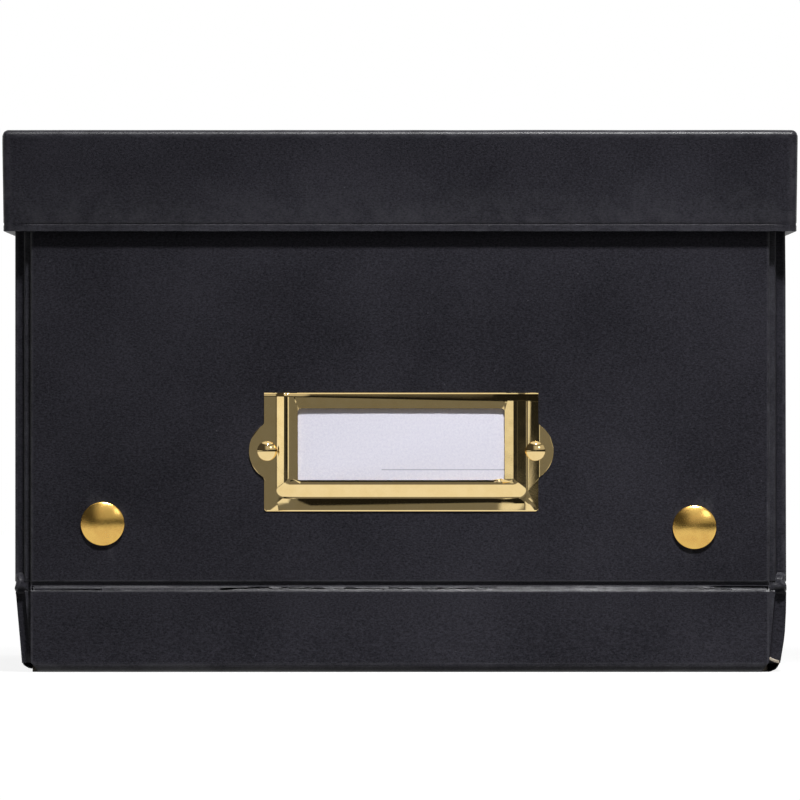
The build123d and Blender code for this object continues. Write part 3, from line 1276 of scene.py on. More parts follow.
@dataclass
class CornerPleat:
    """The crushed paper where the crease turns a corner, laid round the corner like a bandage.

    Attributes:
        low: Height of its lower edge, in metres.
        high: Height of its upper edge.
        waist: Height where it is drawn in.
        draw: How far it is drawn in there.
        flap_reach: How far it reaches along the flap from the corner.
        side_reach: How far it reaches along the side wall.
        proud: How far it stands off the paper behind it.
        sink: How far its rims sink into that paper.
        sheet: Thickness of the paper.
        corner: Radius of the corner.
        crush: How far it is crumpled.
        tuck: How far its upper and lower edges are tucked into the corner's hinge.
    """

    low: float = 21.7 * MM
    high: float = 27.5 * MM
    waist: float = 25.8 * MM
    draw: float = 0.5 * MM
    flap_reach: float = 5.2 * MM
    side_reach: float = 8.0 * MM
    proud: float = 0.06 * MM
    sink: float = 0.4 * MM
    sheet: float = 0.24 * MM
    corner: float = 1.0 * MM
    crush: float = 0.5 * MM
    tuck: float = 2.1 * MM

    def build(self, side: int, end: int, swell: float) -> bpy.types.Object:
        """Models the pleat of one corner from a block.

        Args:
            side: -1 at the left and 1 at the right.
            end: -1 at the front and 1 at the back.
            swell: How far that side wall has bulged at the crease, in metres.

        Returns:
            The pleat.
        """
        side_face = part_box("right_cover")[1].x + self.proud + swell
        flap_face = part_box("right_front_flap_board")[0].y - PAPER - self.proud
        xs = sorted((side * (side_face - self.flap_reach), side * side_face))
        ys = sorted((end * -flap_face, end * (-flap_face - self.side_reach)))
        piece = block("pleat", (xs[0], ys[0], self.low), (xs[1], ys[1], self.high))
        take_up(piece)
        pick(
            piece,
            Element.FACE,
            lambda place, normal: abs(normal.z) > 0.5 or normal.x * side < -0.5 or normal.y * end < -0.5,
        )
        bpy.ops.mesh.delete(type="FACE")
        corner = Vector((side * side_face, end * -flap_face))
        pick(piece, Element.EDGE, lambda place, along: (place.xy - corner).length < TIGHT)
        round_off(self.corner, 5)
        cut(Axis.Z, steps(self.low, self.high, 0.4 * MM)[1:-1])
        cut(Axis.X, steps(xs[0], xs[1], 0.5 * MM)[1:-1])
        cut(Axis.Y, steps(ys[0], ys[1], 0.7 * MM)[1:-1])
        merge_doubles()
        put_down()

        def at_waist(place: Vector) -> float:
            below = ramp(place.z, self.waist - 2.6 * MM, self.waist)
            above = ramp(place.z, self.waist + 1.2 * MM, self.waist)
            return below if place.z < self.waist else above

        def at_rims(place: Vector, reach: float = 1.2 * MM) -> float:
            lower = ramp(place.z, self.low + reach, self.low)
            return max(lower, ramp(place.z, self.high - reach, self.high))

        def at_edges(place: Vector) -> float:
            return at_rims(place, 2.0 * MM) * ramp(abs(place.x), 103.4 * MM, 104.2 * MM)

        def at_middle(place: Vector) -> float:
            from_rim = min(place.z - self.low, self.high - place.z)
            from_flap = abs(place.x) - side_face + self.flap_reach
            from_side = abs(place.y) + flap_face + self.proud + self.side_reach
            return ramp(min(from_rim, from_flap, from_side), 0.2 * MM, 1.4 * MM)

        push(piece, "X", -side * self.draw, at_waist)
        push(piece, "Y", -end * self.draw, at_waist)
        push(piece, "Y", -end * self.tuck, at_edges)
        push(piece, "X", -side * self.sink, at_rims)
        push(piece, "Y", -end * self.sink, at_rims)
        ruffle(piece, 1.5 * MM, self.crush, at_middle)
        thicken(piece, self.sheet)
        take_up(piece)
        close_up(piece, 55.0)
        mark_wear(piece, 0.8 * MM)
        return piece

    def build_all(self, swells: Dict[int, float]) -> bpy.types.Object:
        """Models the pleats of the four corners.

        Args:
            swells: How far the left and right side walls have bulged, by side.

        Returns:
            The four pleats as one piece.
        """
        pleats = [self.build(side, end, swells[side]) for side in (-1, 1) for end in (-1, 1)]
        return join_up(pleats, "corner_pleats")


@dataclass
class BareCorner:
    """The strip of raw board that shows under the paper at one lower corner.

    Attributes:
        left: Its inner end along X, in metres.
        right: Its outer end.
        left_height: Height of its lower edge at the inner end.
        right_height: Height of its lower edge at the outer end.
        thickness: Height of the strip.
    """

    left: float = 102.3 * MM
    right: float = 105.0 * MM
    left_height: float = 3.2 * MM
    right_height: float = 2.1 * MM
    thickness: float = 0.95 * MM

    def build(self) -> bpy.types.Object:
        """Models the strip from a block.

        Returns:
            The strip.
        """
        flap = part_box("right_front_foot_flap_board")
        front = flap[0].y - 0.45 * MM
        top = self.left_height + self.thickness
        piece = block("bare_corner", (self.left, front, self.left_height), (self.right, flap[1].y, top))
        take_up(piece)
        pick(piece, Element.VERTEX, lambda place, normal: place.x > self.right - TIGHT)
        slide(z=self.right_height - self.left_height)
        pick(piece, Element.EDGE, lambda place, along: abs(along.x) > 0.5)
        round_off(0.2 * MM, 3)
        return close_up(piece)


@dataclass
class Lid:
    """The wrapped lid: board box with paper round it, a beaded hem and folded corners.

    Attributes:
        wall: Thickness of the wrapped skirt, in metres.
        top_round: Radius of the upper edges and the upright corners.
        hem_round: Radius of the hem's edges.
        lean: How far the skirt leans in from top to hem.
        ceiling_drop: How far the inside lies below the top.
        seam_set: How far the side flaps' edges lie from the corners.
        seam_step: How far the side flaps stand out.
        hem_band: Height of the bead along the hem.
        pinch: How far the paper draws in above the bead.
        wave: How far the upper edges wave.
        pitch: How far apart the cuts for the waving lie.
        inner: How far the outermost cuts lie from the corners.
    """

    wall: float = 2.6 * MM
    top_round: float = 1.6 * MM
    hem_round: float = 1.0 * MM
    lean: float = 0.4 * MM
    ceiling_drop: float = 2.3 * MM
    seam_set: float = 3.2 * MM
    seam_step: float = 0.14 * MM
    hem_band: float = 1.5 * MM
    pinch: float = 0.22 * MM
    wave: float = 0.14 * MM
    pitch: float = 4.0 * MM
    inner: float = 3.0 * MM

    def build(self) -> bpy.types.Object:
        """Models the lid's paper from a cube.

        Returns:
            The wrapped lid.
        """
        low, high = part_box("lid_cover")
        piece = block("lid_paper", low, high)
        take_up(piece)
        pick(piece, Element.VERTEX, lambda place, normal: place.z < low.z + TIGHT)
        share_x = (high.x - self.lean) / high.x
        share_y = (high.y - self.lean) / high.y
        bpy.ops.transform.resize(value=(share_x, share_y, 1), center_override=(0, 0, low.z))
        pick(
            piece,
            Element.EDGE,
            lambda place, along: abs(along.z) > 0.9 or place.z > high.z - TIGHT,
        )
        round_off(self.top_round, 6)
        self.hollow(piece, low, high)
        self.shape_hem(piece, low, high)
        self.fold_corners(piece, high)
        cut(Axis.X, steps(low.x + self.inner, high.x - self.inner, self.pitch))
        cut(Axis.Y, steps(low.y + self.inner, high.y - self.inner, self.pitch))
        cut(Axis.Z, [high.z - 8 * MM, high.z - 3.4 * MM, high.z - 2.4 * MM])
        close_up(piece, 40.0)
        top = high.z
        ruffle(piece, 16 * MM, self.wave, lambda place: ramp(place.z, top - 4 * MM, top - 1 * MM))
        ruffle(piece, 8 * MM, 0.5 * self.wave, lambda place: ramp(place.z, low.z + 4 * MM, low.z + 1 * MM))
        mark_wear(piece, 1.6 * MM)
        even_normals(piece)
        return piece

    def hollow(self, piece: bpy.types.Object, low: Vector, high: Vector) -> None:
        """Opens the lid from below, with one wall's thickness all round.

        Args:
            piece: The lid's block.
            low: Lowest corner of the lid.
            high: Highest corner.
        """
        pick(piece, Element.FACE, lambda place, normal: normal.z < -0.9)
        bpy.ops.mesh.inset(thickness=self.wall, use_even_offset=True)
        rise = high.z - low.z - self.ceiling_drop
        bpy.ops.mesh.extrude_region_move(TRANSFORM_OT_translate={"value": (0, 0, rise)})

    def shape_hem(self, piece: bpy.types.Object, low: Vector, high: Vector) -> None:
        """Rounds the hem and draws the paper in above its bead.

        Args:
            piece: The open lid.
            low: Lowest corner of the lid.
            high: Highest corner.
        """
        pick(piece, Element.EDGE, lambda place, along: place.z < low.z + TIGHT)
        round_off(self.hem_round, 4)
        band = low.z + self.hem_band
        pinched = band + 0.4 * MM
        cut(Axis.Z, [band, pinched, band + 0.9 * MM, band + 1.4 * MM])
        sides = (
            (lambda place: place.y < low.y + 0.7 * self.wall, "y", 1),
            (lambda place: place.y > high.y - 0.7 * self.wall, "y", -1),
            (lambda place: place.x < low.x + 0.7 * self.wall, "x", 1),
            (lambda place: place.x > high.x - 0.7 * self.wall, "x", -1),
        )
        cut(Axis.X, [low.x + self.inner, high.x - self.inner])
        cut(Axis.Y, [low.y + self.inner, high.y - self.inner])
        for outside, name, inwards in sides:
            length = high.x if name == "y" else high.y
            pick(
                piece,
                Element.VERTEX,
                lambda place, normal: abs(place.z - pinched) < TIGHT
                and outside(place)
                and abs(place.x if name == "y" else place.y) < length - self.inner + TIGHT,
            )
            slide(**{name: inwards * self.pinch})

    def fold_corners(self, piece: bpy.types.Object, high: Vector) -> None:
        """Lays the side flaps over the corner folds, so that their edges show as a fine step.

        Args:
            piece: The open lid.
            high: Highest corner of the lid.
        """
        edge = high.y - self.seam_set
        cut(Axis.Y, [-edge, -edge + 0.15 * MM, edge - 0.15 * MM, edge])
        for side in (-1, 1):
            pick(
                piece,
                Element.VERTEX,
                lambda place, normal: place.x * side > high.x - self.wall * 0.5
                and abs(place.y) < edge - 0.1 * MM
                and place.z < high.z - 1.2 * MM,
            )
            slide(x=side * self.seam_step)


@dataclass
class Drawn:
    """A line of edges drawn from one vertex, in an upright plane that faces the front.

    Attributes:
        name: The piece's name.
        depth: Where the plane crosses Y, in metres.
        at: Where the line has come to.
    """

    name: str
    depth: float
    at: Vector = field(default_factory=Vector)

    def start(self, x: float, z: float) -> bpy.types.Object:
        """Puts the first vertex down.

        Args:
            x: Its place along X.
            z: Its height.

        Returns:
            The piece, open in edit mode.
        """
        put_down()
        bpy.ops.mesh.primitive_plane_add(size=MM, location=(0, 0, 0))
        piece = bpy.context.object
        piece.name = self.name
        bpy.ops.object.mode_set(mode="EDIT")
        bpy.ops.mesh.select_mode(type="VERT")
        bpy.ops.mesh.select_all(action="SELECT")
        bpy.ops.mesh.merge(type="CENTER")
        self.at = Vector((x, self.depth, z))
        bpy.ops.transform.translate(value=self.at)
        return piece

    def line_to(self, x: float, z: float) -> None:
        """Draws a straight edge to a new place."""
        target = Vector((x, self.depth, z))
        bpy.ops.mesh.extrude_region_move(TRANSFORM_OT_translate={"value": target - self.at})
        self.at = target

    def arc_about(self, x: float, z: float, degrees: float, count: int) -> None:
        """Draws an arc about a centre.

        Args:
            x: The centre's place along X.
            z: Its height.
            degrees: How far the arc turns, counter-clockwise seen from the front.
            count: How many edges it gets.
        """
        radius = math.hypot(self.at.x - x, self.at.z - z)
        start = math.atan2(self.at.z - z, self.at.x - x)
        for step in range(1, count + 1):
            angle = start + math.radians(degrees) * step / count
            self.line_to(x + radius * math.cos(angle), z + radius * math.sin(angle))


@dataclass
class LabelHolder:
    """The pressed brass label holder.

    Attributes:
        sheet: Thickness of the brass sheet, in metres.
        width: Width of the plate without its ears.
        ear_radius: Radius of the ears.
        ear_reach: How far they reach past the plate.
        ear_fillet: Radius where they join the plate.
        rivet_height: Height of the rivets above the floor.
        corner_round: Radius of the plate's lower corners.
        slope_side: Width of the pocket's left and right slopes.
        slope_low: Height of its lower slope.
        low_margin: Height of the plate below the pocket.
        pocket_width: Width of the pocket with its slopes.
        foot_corner: Radius of the pocket's lower corners at the plate.
        field_corner: Radius of the same corners at the pocket's face.
        window_size: Width and height of the window.
        window_height: Height of its middle above the floor.
        window_corner: Radius of its corners.
        bow: How far the plate's lower edge bows forward.
        curl: How far the upper edge curls back.
        lip: Height and depth of the turned-back lip along the upper and lower edges.
        ridge: How far the pocket's left edge stands proud.
        aside: How far it sits to the right of the wall's middle.
        sag: How far the right side falls back, as pairs of place and share.
        sag_depth: How far that is at most.
    """

    sheet: float = BRASS_SHEET
    width: float = 75.9 * MM
    ear_radius: float = 8.6 * MM
    ear_reach: float = 4.2 * MM
    ear_fillet: float = 1.2 * MM
    rivet_height: float = 61.2 * MM
    corner_round: float = 0.8 * MM
    slope_side: float = 2.2 * MM
    slope_low: float = 2.8 * MM
    low_margin: float = 4.3 * MM
    pocket_width: float = 69.0 * MM
    foot_corner: float = 2.2 * MM
    field_corner: float = 1.0 * MM
    window_size: Tuple[float, float] = (57.2 * MM, 20.3 * MM)
    window_height: float = 62.8 * MM
    window_corner: float = 0.9 * MM
    bow: float = 0.08 * MM
    curl: float = 0.1 * MM
    lip: float = 0.34 * MM
    ridge: float = 0.3 * MM
    aside: float = 0.35 * MM
    sag: Tuple[Tuple[float, float], ...] = (
        (28.7 * MM, 0.0),
        (31.09 * MM, 0.34),
        (32.04 * MM, 0.8),
        (32.5 * MM, 1.0),
        (34.3 * MM, 0.4),
        (35.1 * MM, 0.0),
        (38.2 * MM, 0.8),
        (43.0 * MM, 0.95),
    )
    sag_depth: float = 0.26 * MM

    def build(self) -> bpy.types.Object:
        """Models the holder from its rings, from the window outwards.

        Returns:
            The brass sheet.
        """
        low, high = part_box("label_frame")
        centre = (low.x + high.x) / 2
        field_depth = low.y
        plate_depth = high.y - self.sheet
        past = high.z + 4 * MM
        middle = Vector((centre, field_depth, self.window_height))
        window = self.ring(middle, *self.window_size, self.window_corner)
        start = low.z + self.low_margin
        rings = [window] + self.pocket_rings(centre, start, past, field_depth, plate_depth)
        piece = join_up(rings, "label_holder")
        take_up(piece)
        self.bridge_all(piece)
        put_down()
        outline = self.plate_outline(centre, low.z, past, plate_depth)
        piece = join_up([piece, outline], "label_holder")
        take_up(piece)
        self.fill_plate(piece, plate_depth)
        cut(Axis.Z, [high.z], clear_above=True)
        self.bow_plate(piece, centre, low.z)
        self.curl_top(piece, high.z)
        merge_doubles()
        bpy.ops.mesh.normals_make_consistent(inside=False)
        put_down()
        self.face_front(piece)
        self.sag_right(piece, centre)
        thicken(piece, self.sheet)
        edges = piece.modifiers.new("edges", "BEVEL")
        edges.width = 0.16 * MM
        edges.segments = 3
        edges.limit_method = "ANGLE"
        edges.angle_limit = math.radians(60)
        apply_modifier(piece, edges)
        take_up(piece)
        close_up(piece, 30.0)
        shift_mesh(piece, x=self.aside)
        even_normals(piece)
        return piece

    def ring(self, centre: Vector, width: float, height: float, corner: float) -> bpy.types.Object:
        """A rounded rectangle of edges that faces the front.

        Args:
            centre: Its middle.
            width: Size along X.
            height: Size along Z.
            corner: Radius of its corners.

        Returns:
            The ring, out of edit mode.
        """
        put_down()
        bpy.ops.mesh.primitive_plane_add(size=1, location=centre, rotation=(math.pi / 2, 0, 0))
        ring = bpy.context.object
        ring.scale = (width, height, 1)
        bpy.ops.object.transform_apply(location=True, rotation=True, scale=True)
        take_up(ring)
        bpy.ops.mesh.select_all(action="SELECT")
        bpy.ops.mesh.bevel(offset=corner, segments=8, affect="VERTICES", clamp_overlap=False)
        bpy.ops.mesh.select_all(action="SELECT")
        bpy.ops.mesh.delete(type="ONLY_FACE")
        put_down()
        return ring

    def pocket_rings(
        self, centre: float, foot: float, past: float, field_depth: float, plate_depth: float
    ) -> List[bpy.types.Object]:
        """The rings of the pocket's slopes, from its face down to the plate.

        Args:
            centre: The pocket's middle along X.
            foot: Height of the lower slope's foot.
            past: How high the rings reach, past the holder's upper edge.
            field_depth: Where the pocket's face lies along Y.
            plate_depth: Where the plate's face lies.

        Returns:
            The rings.
        """
        section = (
            (1.55, 1.0),
            (1.12, 1.0),
            (1.03, 0.985),
            (0.95, 0.945),
            (0.88, 0.885),
            (0.12, 0.115),
            (0.05, 0.055),
            (-0.03, 0.015),
            (-0.12, 0.0),
            (-0.3, 0.0),
        )
        rings = []
        for share, rise in section:
            half = self.pocket_width / 2 - share * self.slope_side
            bottom = foot + share * self.slope_low
            corner = self.foot_corner + share * (self.field_corner - self.foot_corner)
            depth = plate_depth + rise * (field_depth - plate_depth)
            middle = Vector((centre, depth, (bottom + past) / 2))
            rings.append(self.ring(middle, 2 * half, past - bottom, max(corner, 0.5 * MM)))
        return rings

    def plate_outline(self, centre: float, low: float, past: float, depth: float) -> bpy.types.Object:
        """The plate's outline with its two round ears, drawn past its upper edge.

        Args:
            centre: The plate's middle along X.
            low: Its lower edge.
            past: How high it is drawn.
            depth: Where its face lies along Y.

        Returns:
            The outline, out of edit mode.
        """
        half = self.width / 2
        ear = half + self.ear_reach - self.ear_radius
        across = half + self.ear_fillet - ear
        reach = self.ear_radius + self.ear_fillet
        rise = math.sqrt(reach**2 - across**2)
        turn = 90 - math.degrees(math.asin(across / reach))
        swing = 180 - 2 * math.degrees(math.asin(across / reach))
        drawn = Drawn("plate_outline", depth)
        outline = drawn.start(centre - half + self.corner_round, low)
        drawn.line_to(centre + half - self.corner_round, low)
        drawn.arc_about(centre + half - self.corner_round, low + self.corner_round, 90, 6)
        for side, corner_low, corner_high in ((1, -rise, rise), (-1, rise, -rise)):
            edge = centre + side * half
            drawn.line_to(edge, self.rivet_height + corner_low)
            fillet = centre + side * (half + self.ear_fillet)
            drawn.arc_about(fillet, self.rivet_height + corner_low, -turn, 5)
            drawn.arc_about(centre + side * ear, self.rivet_height, swing, 30)
            drawn.arc_about(fillet, self.rivet_height + corner_high, -turn, 5)
            if side == 1:
                drawn.line_to(edge, past)
                drawn.line_to(centre - half, past)
        drawn.line_to(centre - half, low + self.corner_round)
        drawn.arc_about(centre - half + self.corner_round, low + self.corner_round, 90, 6)
        merge_doubles()
        put_down()
        return outline

    @staticmethod
    def bridge_all(piece: bpy.types.Object) -> None:
        """Bridges each ring to the next one out.

        Args:
            piece: The joined rings, open in edit mode.
        """
        mesh = bmesh.from_edit_mesh(piece.data)
        left = set(mesh.verts)
        loops = []
        while left:
            loop = [next(iter(left))]
            seen = set(loop)
            for vertex in loop:
                for edge in vertex.link_edges:
                    other = edge.other_vert(vertex)
                    if other not in seen:
                        seen.add(other)
                        loop.append(other)
            left -= seen
            loops.append((max(vertex.co.x for vertex in loop), {vertex.index for vertex in loop}))
        loops.sort(key=lambda loop: loop[0])
        for (_, inner), (_, outer) in zip(loops, loops[1:]):
            bpy.ops.mesh.select_mode(type="EDGE")
            bpy.ops.mesh.select_all(action="DESELECT")
            mesh = bmesh.from_edit_mesh(piece.data)
            for edge in mesh.edges:
                ends = {vertex.index for vertex in edge.verts}
                if ends <= inner or ends <= outer:
                    edge.select_set(True)
            bmesh.update_edit_mesh(piece.data)
            bpy.ops.mesh.bridge_edge_loops()

    @staticmethod
    def fill_plate(piece: bpy.types.Object, depth: float) -> None:
        """Fills the flat plate between the pocket's foot and the outline.

        Args:
            piece: The pocket and the outline, open in edit mode.
            depth: Where the plate's face lies along Y.
        """
        bpy.ops.mesh.select_mode(type="EDGE")
        bpy.ops.mesh.select_all(action="DESELECT")
        mesh = bmesh.from_edit_mesh(piece.data)
        for edge in mesh.edges:
            middle = (edge.verts[0].co + edge.verts[1].co) / 2
            if len(edge.link_faces) < 2 and abs(middle.y - depth) < 0.05 * MM:
                edge.select_set(True)
        bmesh.update_edit_mesh(piece.data)
        bpy.ops.mesh.fill(use_beauty=True)

    def bow_plate(self, piece: bpy.types.Object, centre: float, low: float) -> None:
        """Bows the plate's lower edge forward in its middle.

        Args:
            piece: The sheet, open in edit mode.
            centre: The plate's middle along X.
            low: Its lower edge.
        """
        bend_high = low + self.low_margin - 0.75 * MM
        bend_low = bend_high - 1.4 * MM
        cut(Axis.Z, [low + self.lip, bend_low, bend_high])
        halves = ((31 * MM, 0.3), (28 * MM, 0.7), (25 * MM, 1.0))
        cut(Axis.X, [centre + side * half for side in (-1, 1) for half, _ in halves])
        cut(Axis.X, [centre - 34 * MM, centre + 34 * MM])
        for half, share in halves:
            pick(
                piece,
                Element.VERTEX,
                lambda place, normal: place.z < bend_low + TIGHT
                and (
                    abs(abs(place.x - centre) - half) < TIGHT
                    or (share == 1.0 and abs(place.x - centre) < half)
                ),
            )
            slide(y=-self.bow * share)
        pick(piece, Element.VERTEX, lambda place, normal: place.z < low + self.lip - TIGHT)
        slide(y=0.7 * self.lip)

    def curl_top(self, piece: bpy.types.Object, top: float) -> None:
        """Curls the upper edge towards the wall, more at the right.

        Args:
            piece: The sheet, cut at its upper edge.
            top: The upper edge's height.
        """
        for drop, slant in ((1.9, 0.022), (1.3, 0.016), (self.lip / MM, 0.0)):
            bpy.ops.mesh.select_mode(type="VERT")
            bpy.ops.mesh.select_all(action="SELECT")
            bpy.ops.mesh.bisect(plane_co=(0, 0, top - drop * MM), plane_no=(slant, 0, 1), threshold=TIGHT)
        for drop, slant, share in ((1.3, 0.016, 0.3), (self.lip / MM, 0.0, 1.0), (0.0, 0.0, 1.0)):
            pick(
                piece,
                Element.VERTEX,
                lambda place, normal: abs(place.z - top + drop * MM + slant * place.x) < 0.02 * MM,
            )
            slide(y=self.curl * share)
        pick(piece, Element.VERTEX, lambda place, normal: place.z > top - TIGHT)
        slide(y=0.8 * self.lip)

    def sag_right(self, piece: bpy.types.Object, centre: float) -> None:
        """Lets the right side fall back, and raises the pocket's left edge.

        Args:
            piece: The sheet, before it has its thickness.
            centre: The pocket's middle along X.
        """
        edge = self.pocket_width / 2
        push(piece, "Y", self.sag_depth, lambda place: between(self.sag, place.x - centre))
        crest = edge - 0.88 * self.slope_side

        def at_left(place: Vector) -> float:
            from_crest = centre - place.x - crest
            return ramp(from_crest, 1.5 * MM, 0.0) * ramp(from_crest, -0.65 * MM, 0.0)

        push(piece, "Y", -self.ridge, at_left)

    @staticmethod
    def face_front(piece: bpy.types.Object) -> None:
        """Turns the sheet's faces to the front.

        Args:
            piece: The sheet.
        """
        take_up(piece)
        mesh = bmesh.from_edit_mesh(piece.data)
        if sum(face.normal.y * face.calc_area() for face in mesh.faces) > 0:
            bpy.ops.mesh.select_all(action="SELECT")
            bpy.ops.mesh.flip_normals()
        put_down()


@dataclass
class LabelCard:
    """The card, which leans and bows forward against the holder's face.

    Attributes:
        forward: How far it stands forward behind the window, in metres.
        bow: How much further it stands forward in its middle.
        bent_height: Height where it has come fully forward.
    """

    forward: float = 0.3 * MM
    bow: float = 0.12 * MM
    bent_height: float = 53.0 * MM

    def build(self) -> bpy.types.Object:
        """Copies the node's mesh, cuts it finer and bows it.

        Returns:
            The card.
        """
        low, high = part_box("label_card")
        middle = (low.x + high.x) / 2
        half = (high.x - low.x) / 2
        piece = open_copy("label_card", "label_card_bowed")
        cut(Axis.X, steps(low.x + 3 * MM, high.x - 3 * MM, 3 * MM))
        cut(Axis.Z, [self.bent_height])
        close_up(piece)
        shift_mesh(piece, y=-self.forward)
        push(piece, "Y", -self.bow, lambda place: 1 - ((place.x - middle) / half) ** 2)
        push(piece, "Y", self.forward, lambda place: 1.0 if place.z < low.z + 0.1 * MM else 0.0)
        return piece


@dataclass
class DomedHead:
    """A round domed head of a press stud or rivet, turned from its section.

    Attributes:
        name: The piece's name.
        radius: Radius of the head, in metres.
        height: How high it stands.
        rim: Height of its upright rim.
        skin: How far its underside reaches in from the rim.
        curl: Radius of the rim's rolled edge.
        count: How many facets go round.
    """

    name: str
    radius: float
    height: float
    rim: float
    skin: float
    curl: float
    count: int = 96

    def section(self) -> List[Tuple[float, float]]:
        """The head's outer section, from its middle to its underside.

        Returns:
            Points as (radius, height) in metres.
        """
        inner = self.radius - self.curl
        rise = self.height - self.rim
        ball = (inner**2 + rise**2) / (2 * rise)
        half_angle = math.asin(inner / ball)
        points = []
        for step in range(13):
            angle = half_angle * step / 12
            points.append((ball * math.sin(angle), self.height - ball * (1 - math.cos(angle))))
        for step in range(1, 8):
            angle = half_angle + (math.pi - half_angle) * step / 7
            points.append(
                (
                    inner + self.curl * (math.sin(angle) - math.sin(half_angle)),
                    self.rim + self.curl * (math.cos(angle) - math.cos(half_angle)),
                )
            )
        points.append((inner - self.skin, self.rim - self.curl * (1 + math.cos(half_angle))))
        return points

    def build(self, centre: Vector, facing: int) -> bpy.types.Object:
        """Turns the section about its middle line.

        Args:
            centre: The head's middle on the wall's face.
            facing: -1 if it faces the front and 1 if it faces the back.

        Returns:
            The head.
        """
        points = self.section()
        drawn = Drawn(self.name, 0.0)
        piece = drawn.start(*points[0])
        for radius, height in points[1:]:
            drawn.line_to(radius, height)
        bpy.ops.mesh.select_all(action="SELECT")
        bpy.ops.mesh.spin(steps=self.count, angle=2 * math.pi, center=(0, 0, 0), axis=(0, 0, 1))
        merge_doubles()
        bpy.ops.mesh.normals_make_consistent(inside=False)
        put_down()
        piece.rotation_euler = (-facing * math.pi / 2, 0, 0)
        piece.location = centre
        bpy.context.view_layer.objects.active = piece
        piece.select_set(True)
        bpy.ops.object.transform_apply(location=True, rotation=True, scale=True)
        bpy.ops.object.shade_smooth_by_angle(angle=math.radians(60))
        put_down()
        return piece


@dataclass
class PressStuds:
    """The caps of the four press studs.

    Attributes:
        radius: Radius of a cap, in metres.
        height: How high it stands.
        rim: Height of its rim.
        skin: How far its underside reaches in.
        curl: Radius of its rolled edge.
        offsets: How far the left and the right caps sit off their places along X and Z.
    """

    radius: float = 6.25 * MM
    height: float = 2.2 * MM
    rim: float = 0.95 * MM
    skin: float = 1.2 * MM
    curl: float = 0.36 * MM
    offsets: Tuple[float, float, float, float] = (-0.2 * MM, 0.45 * MM, -0.6 * MM, -0.5 * MM)

    def build(self) -> bpy.types.Object:
        """Models one cap and sets a copy of it at each stud.

        Returns:
            The four caps as one piece.
        """
        low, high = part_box("stud_caps")
        across = high.x - self.radius
        level = (low.z + high.z) / 2
        faces = ((-1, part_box("front_wall_board")[0].y - PAPER), (1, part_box("back_wall_board")[1].y + PAPER))
        one_x, one_z, other_x, other_z = self.offsets
        caps = []
        for facing, wall in faces:
            head = DomedHead("stud_cap", self.radius, self.height, self.rim, self.skin, self.curl)
            cap = head.build(Vector((-across, wall, level)), facing)
            other = copy_of(cap, "stud_cap_copy")
            shift_mesh(cap, x=one_x, z=one_z)
            shift_mesh(other, x=2 * across + other_x, z=other_z)
            caps += [cap, other]
        return join_up(caps, "stud_domes")


@dataclass
class Rivets:
    """The domed heads of the label holder's rivets.

    Attributes:
        radius: Radius of a head, in metres.
        height: How high it stands off the plate.
        spacing: Distance between the two rivets.
        aside: How far they sit to the right of the wall's middle.
        level: Their height above the floor.
        shank_radius: Radius of the shank.
        clinch_radius: Radius of the clinched end inside the wall.
        clinch: Thickness of the clinched end.
        rim: Height of a head's rim.
        skin: How far its underside reaches in.
        curl: Radius of its rolled edge.
    """

    radius: float = 2.8 * MM
    height: float = 1.3 * MM
    spacing: float = 74.3 * MM
    aside: float = 0.35 * MM
    level: float = 61.2 * MM
    shank_radius: float = 1.1 * MM
    clinch_radius: float = 1.7 * MM
    clinch: float = 0.5 * MM
    rim: float = 0.22 * MM
    skin: float = 1.0 * MM
    curl: float = 0.1 * MM

    def build(self) -> bpy.types.Object:
        """Models one rivet and its clinched end, and copies it.

        Returns:
            The two rivets as one piece.
        """
        low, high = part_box("label_rivets")
        centre_x = (low.x + high.x) / 2
        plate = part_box("label_frame")[1].y - BRASS_SHEET
        head = DomedHead("rivet", self.radius, self.height, self.rim, self.skin, self.curl, 64)
        place = Vector((centre_x - self.spacing / 2, plate, self.level))
        rivet = head.build(place, -1)
        put_down()
        bpy.ops.mesh.primitive_cylinder_add(
            vertices=48,
            radius=self.clinch_radius,
            depth=high.y - plate,
            location=(place.x, (high.y + plate) / 2, place.z),
            rotation=(math.pi / 2, 0, 0),
        )
        shank = bpy.context.object
        bpy.ops.object.transform_apply(location=True, rotation=True, scale=True)
        take_up(shank)
        cut(Axis.Y, [high.y - self.clinch])
        pick(shank, Element.VERTEX, lambda spot, normal: spot.y < high.y - self.clinch + TIGHT)
        share = self.shank_radius / self.clinch_radius
        bpy.ops.transform.resize(value=(share, 1, share), center_override=(place.x, plate, place.z))
        pick(shank, Element.EDGE, lambda spot, along: spot.y > high.y - TIGHT)
        round_off(0.3 * MM, 3)
        close_up(shank)
        rivet = join_up([rivet, shank], "rivet")
        other = copy_of(rivet, "rivet_copy")
        shift_mesh(other, x=self.spacing)
        both = join_up([rivet, other], "rivet_heads")
        shift_mesh(both, x=self.aside)
        return both


# Stage


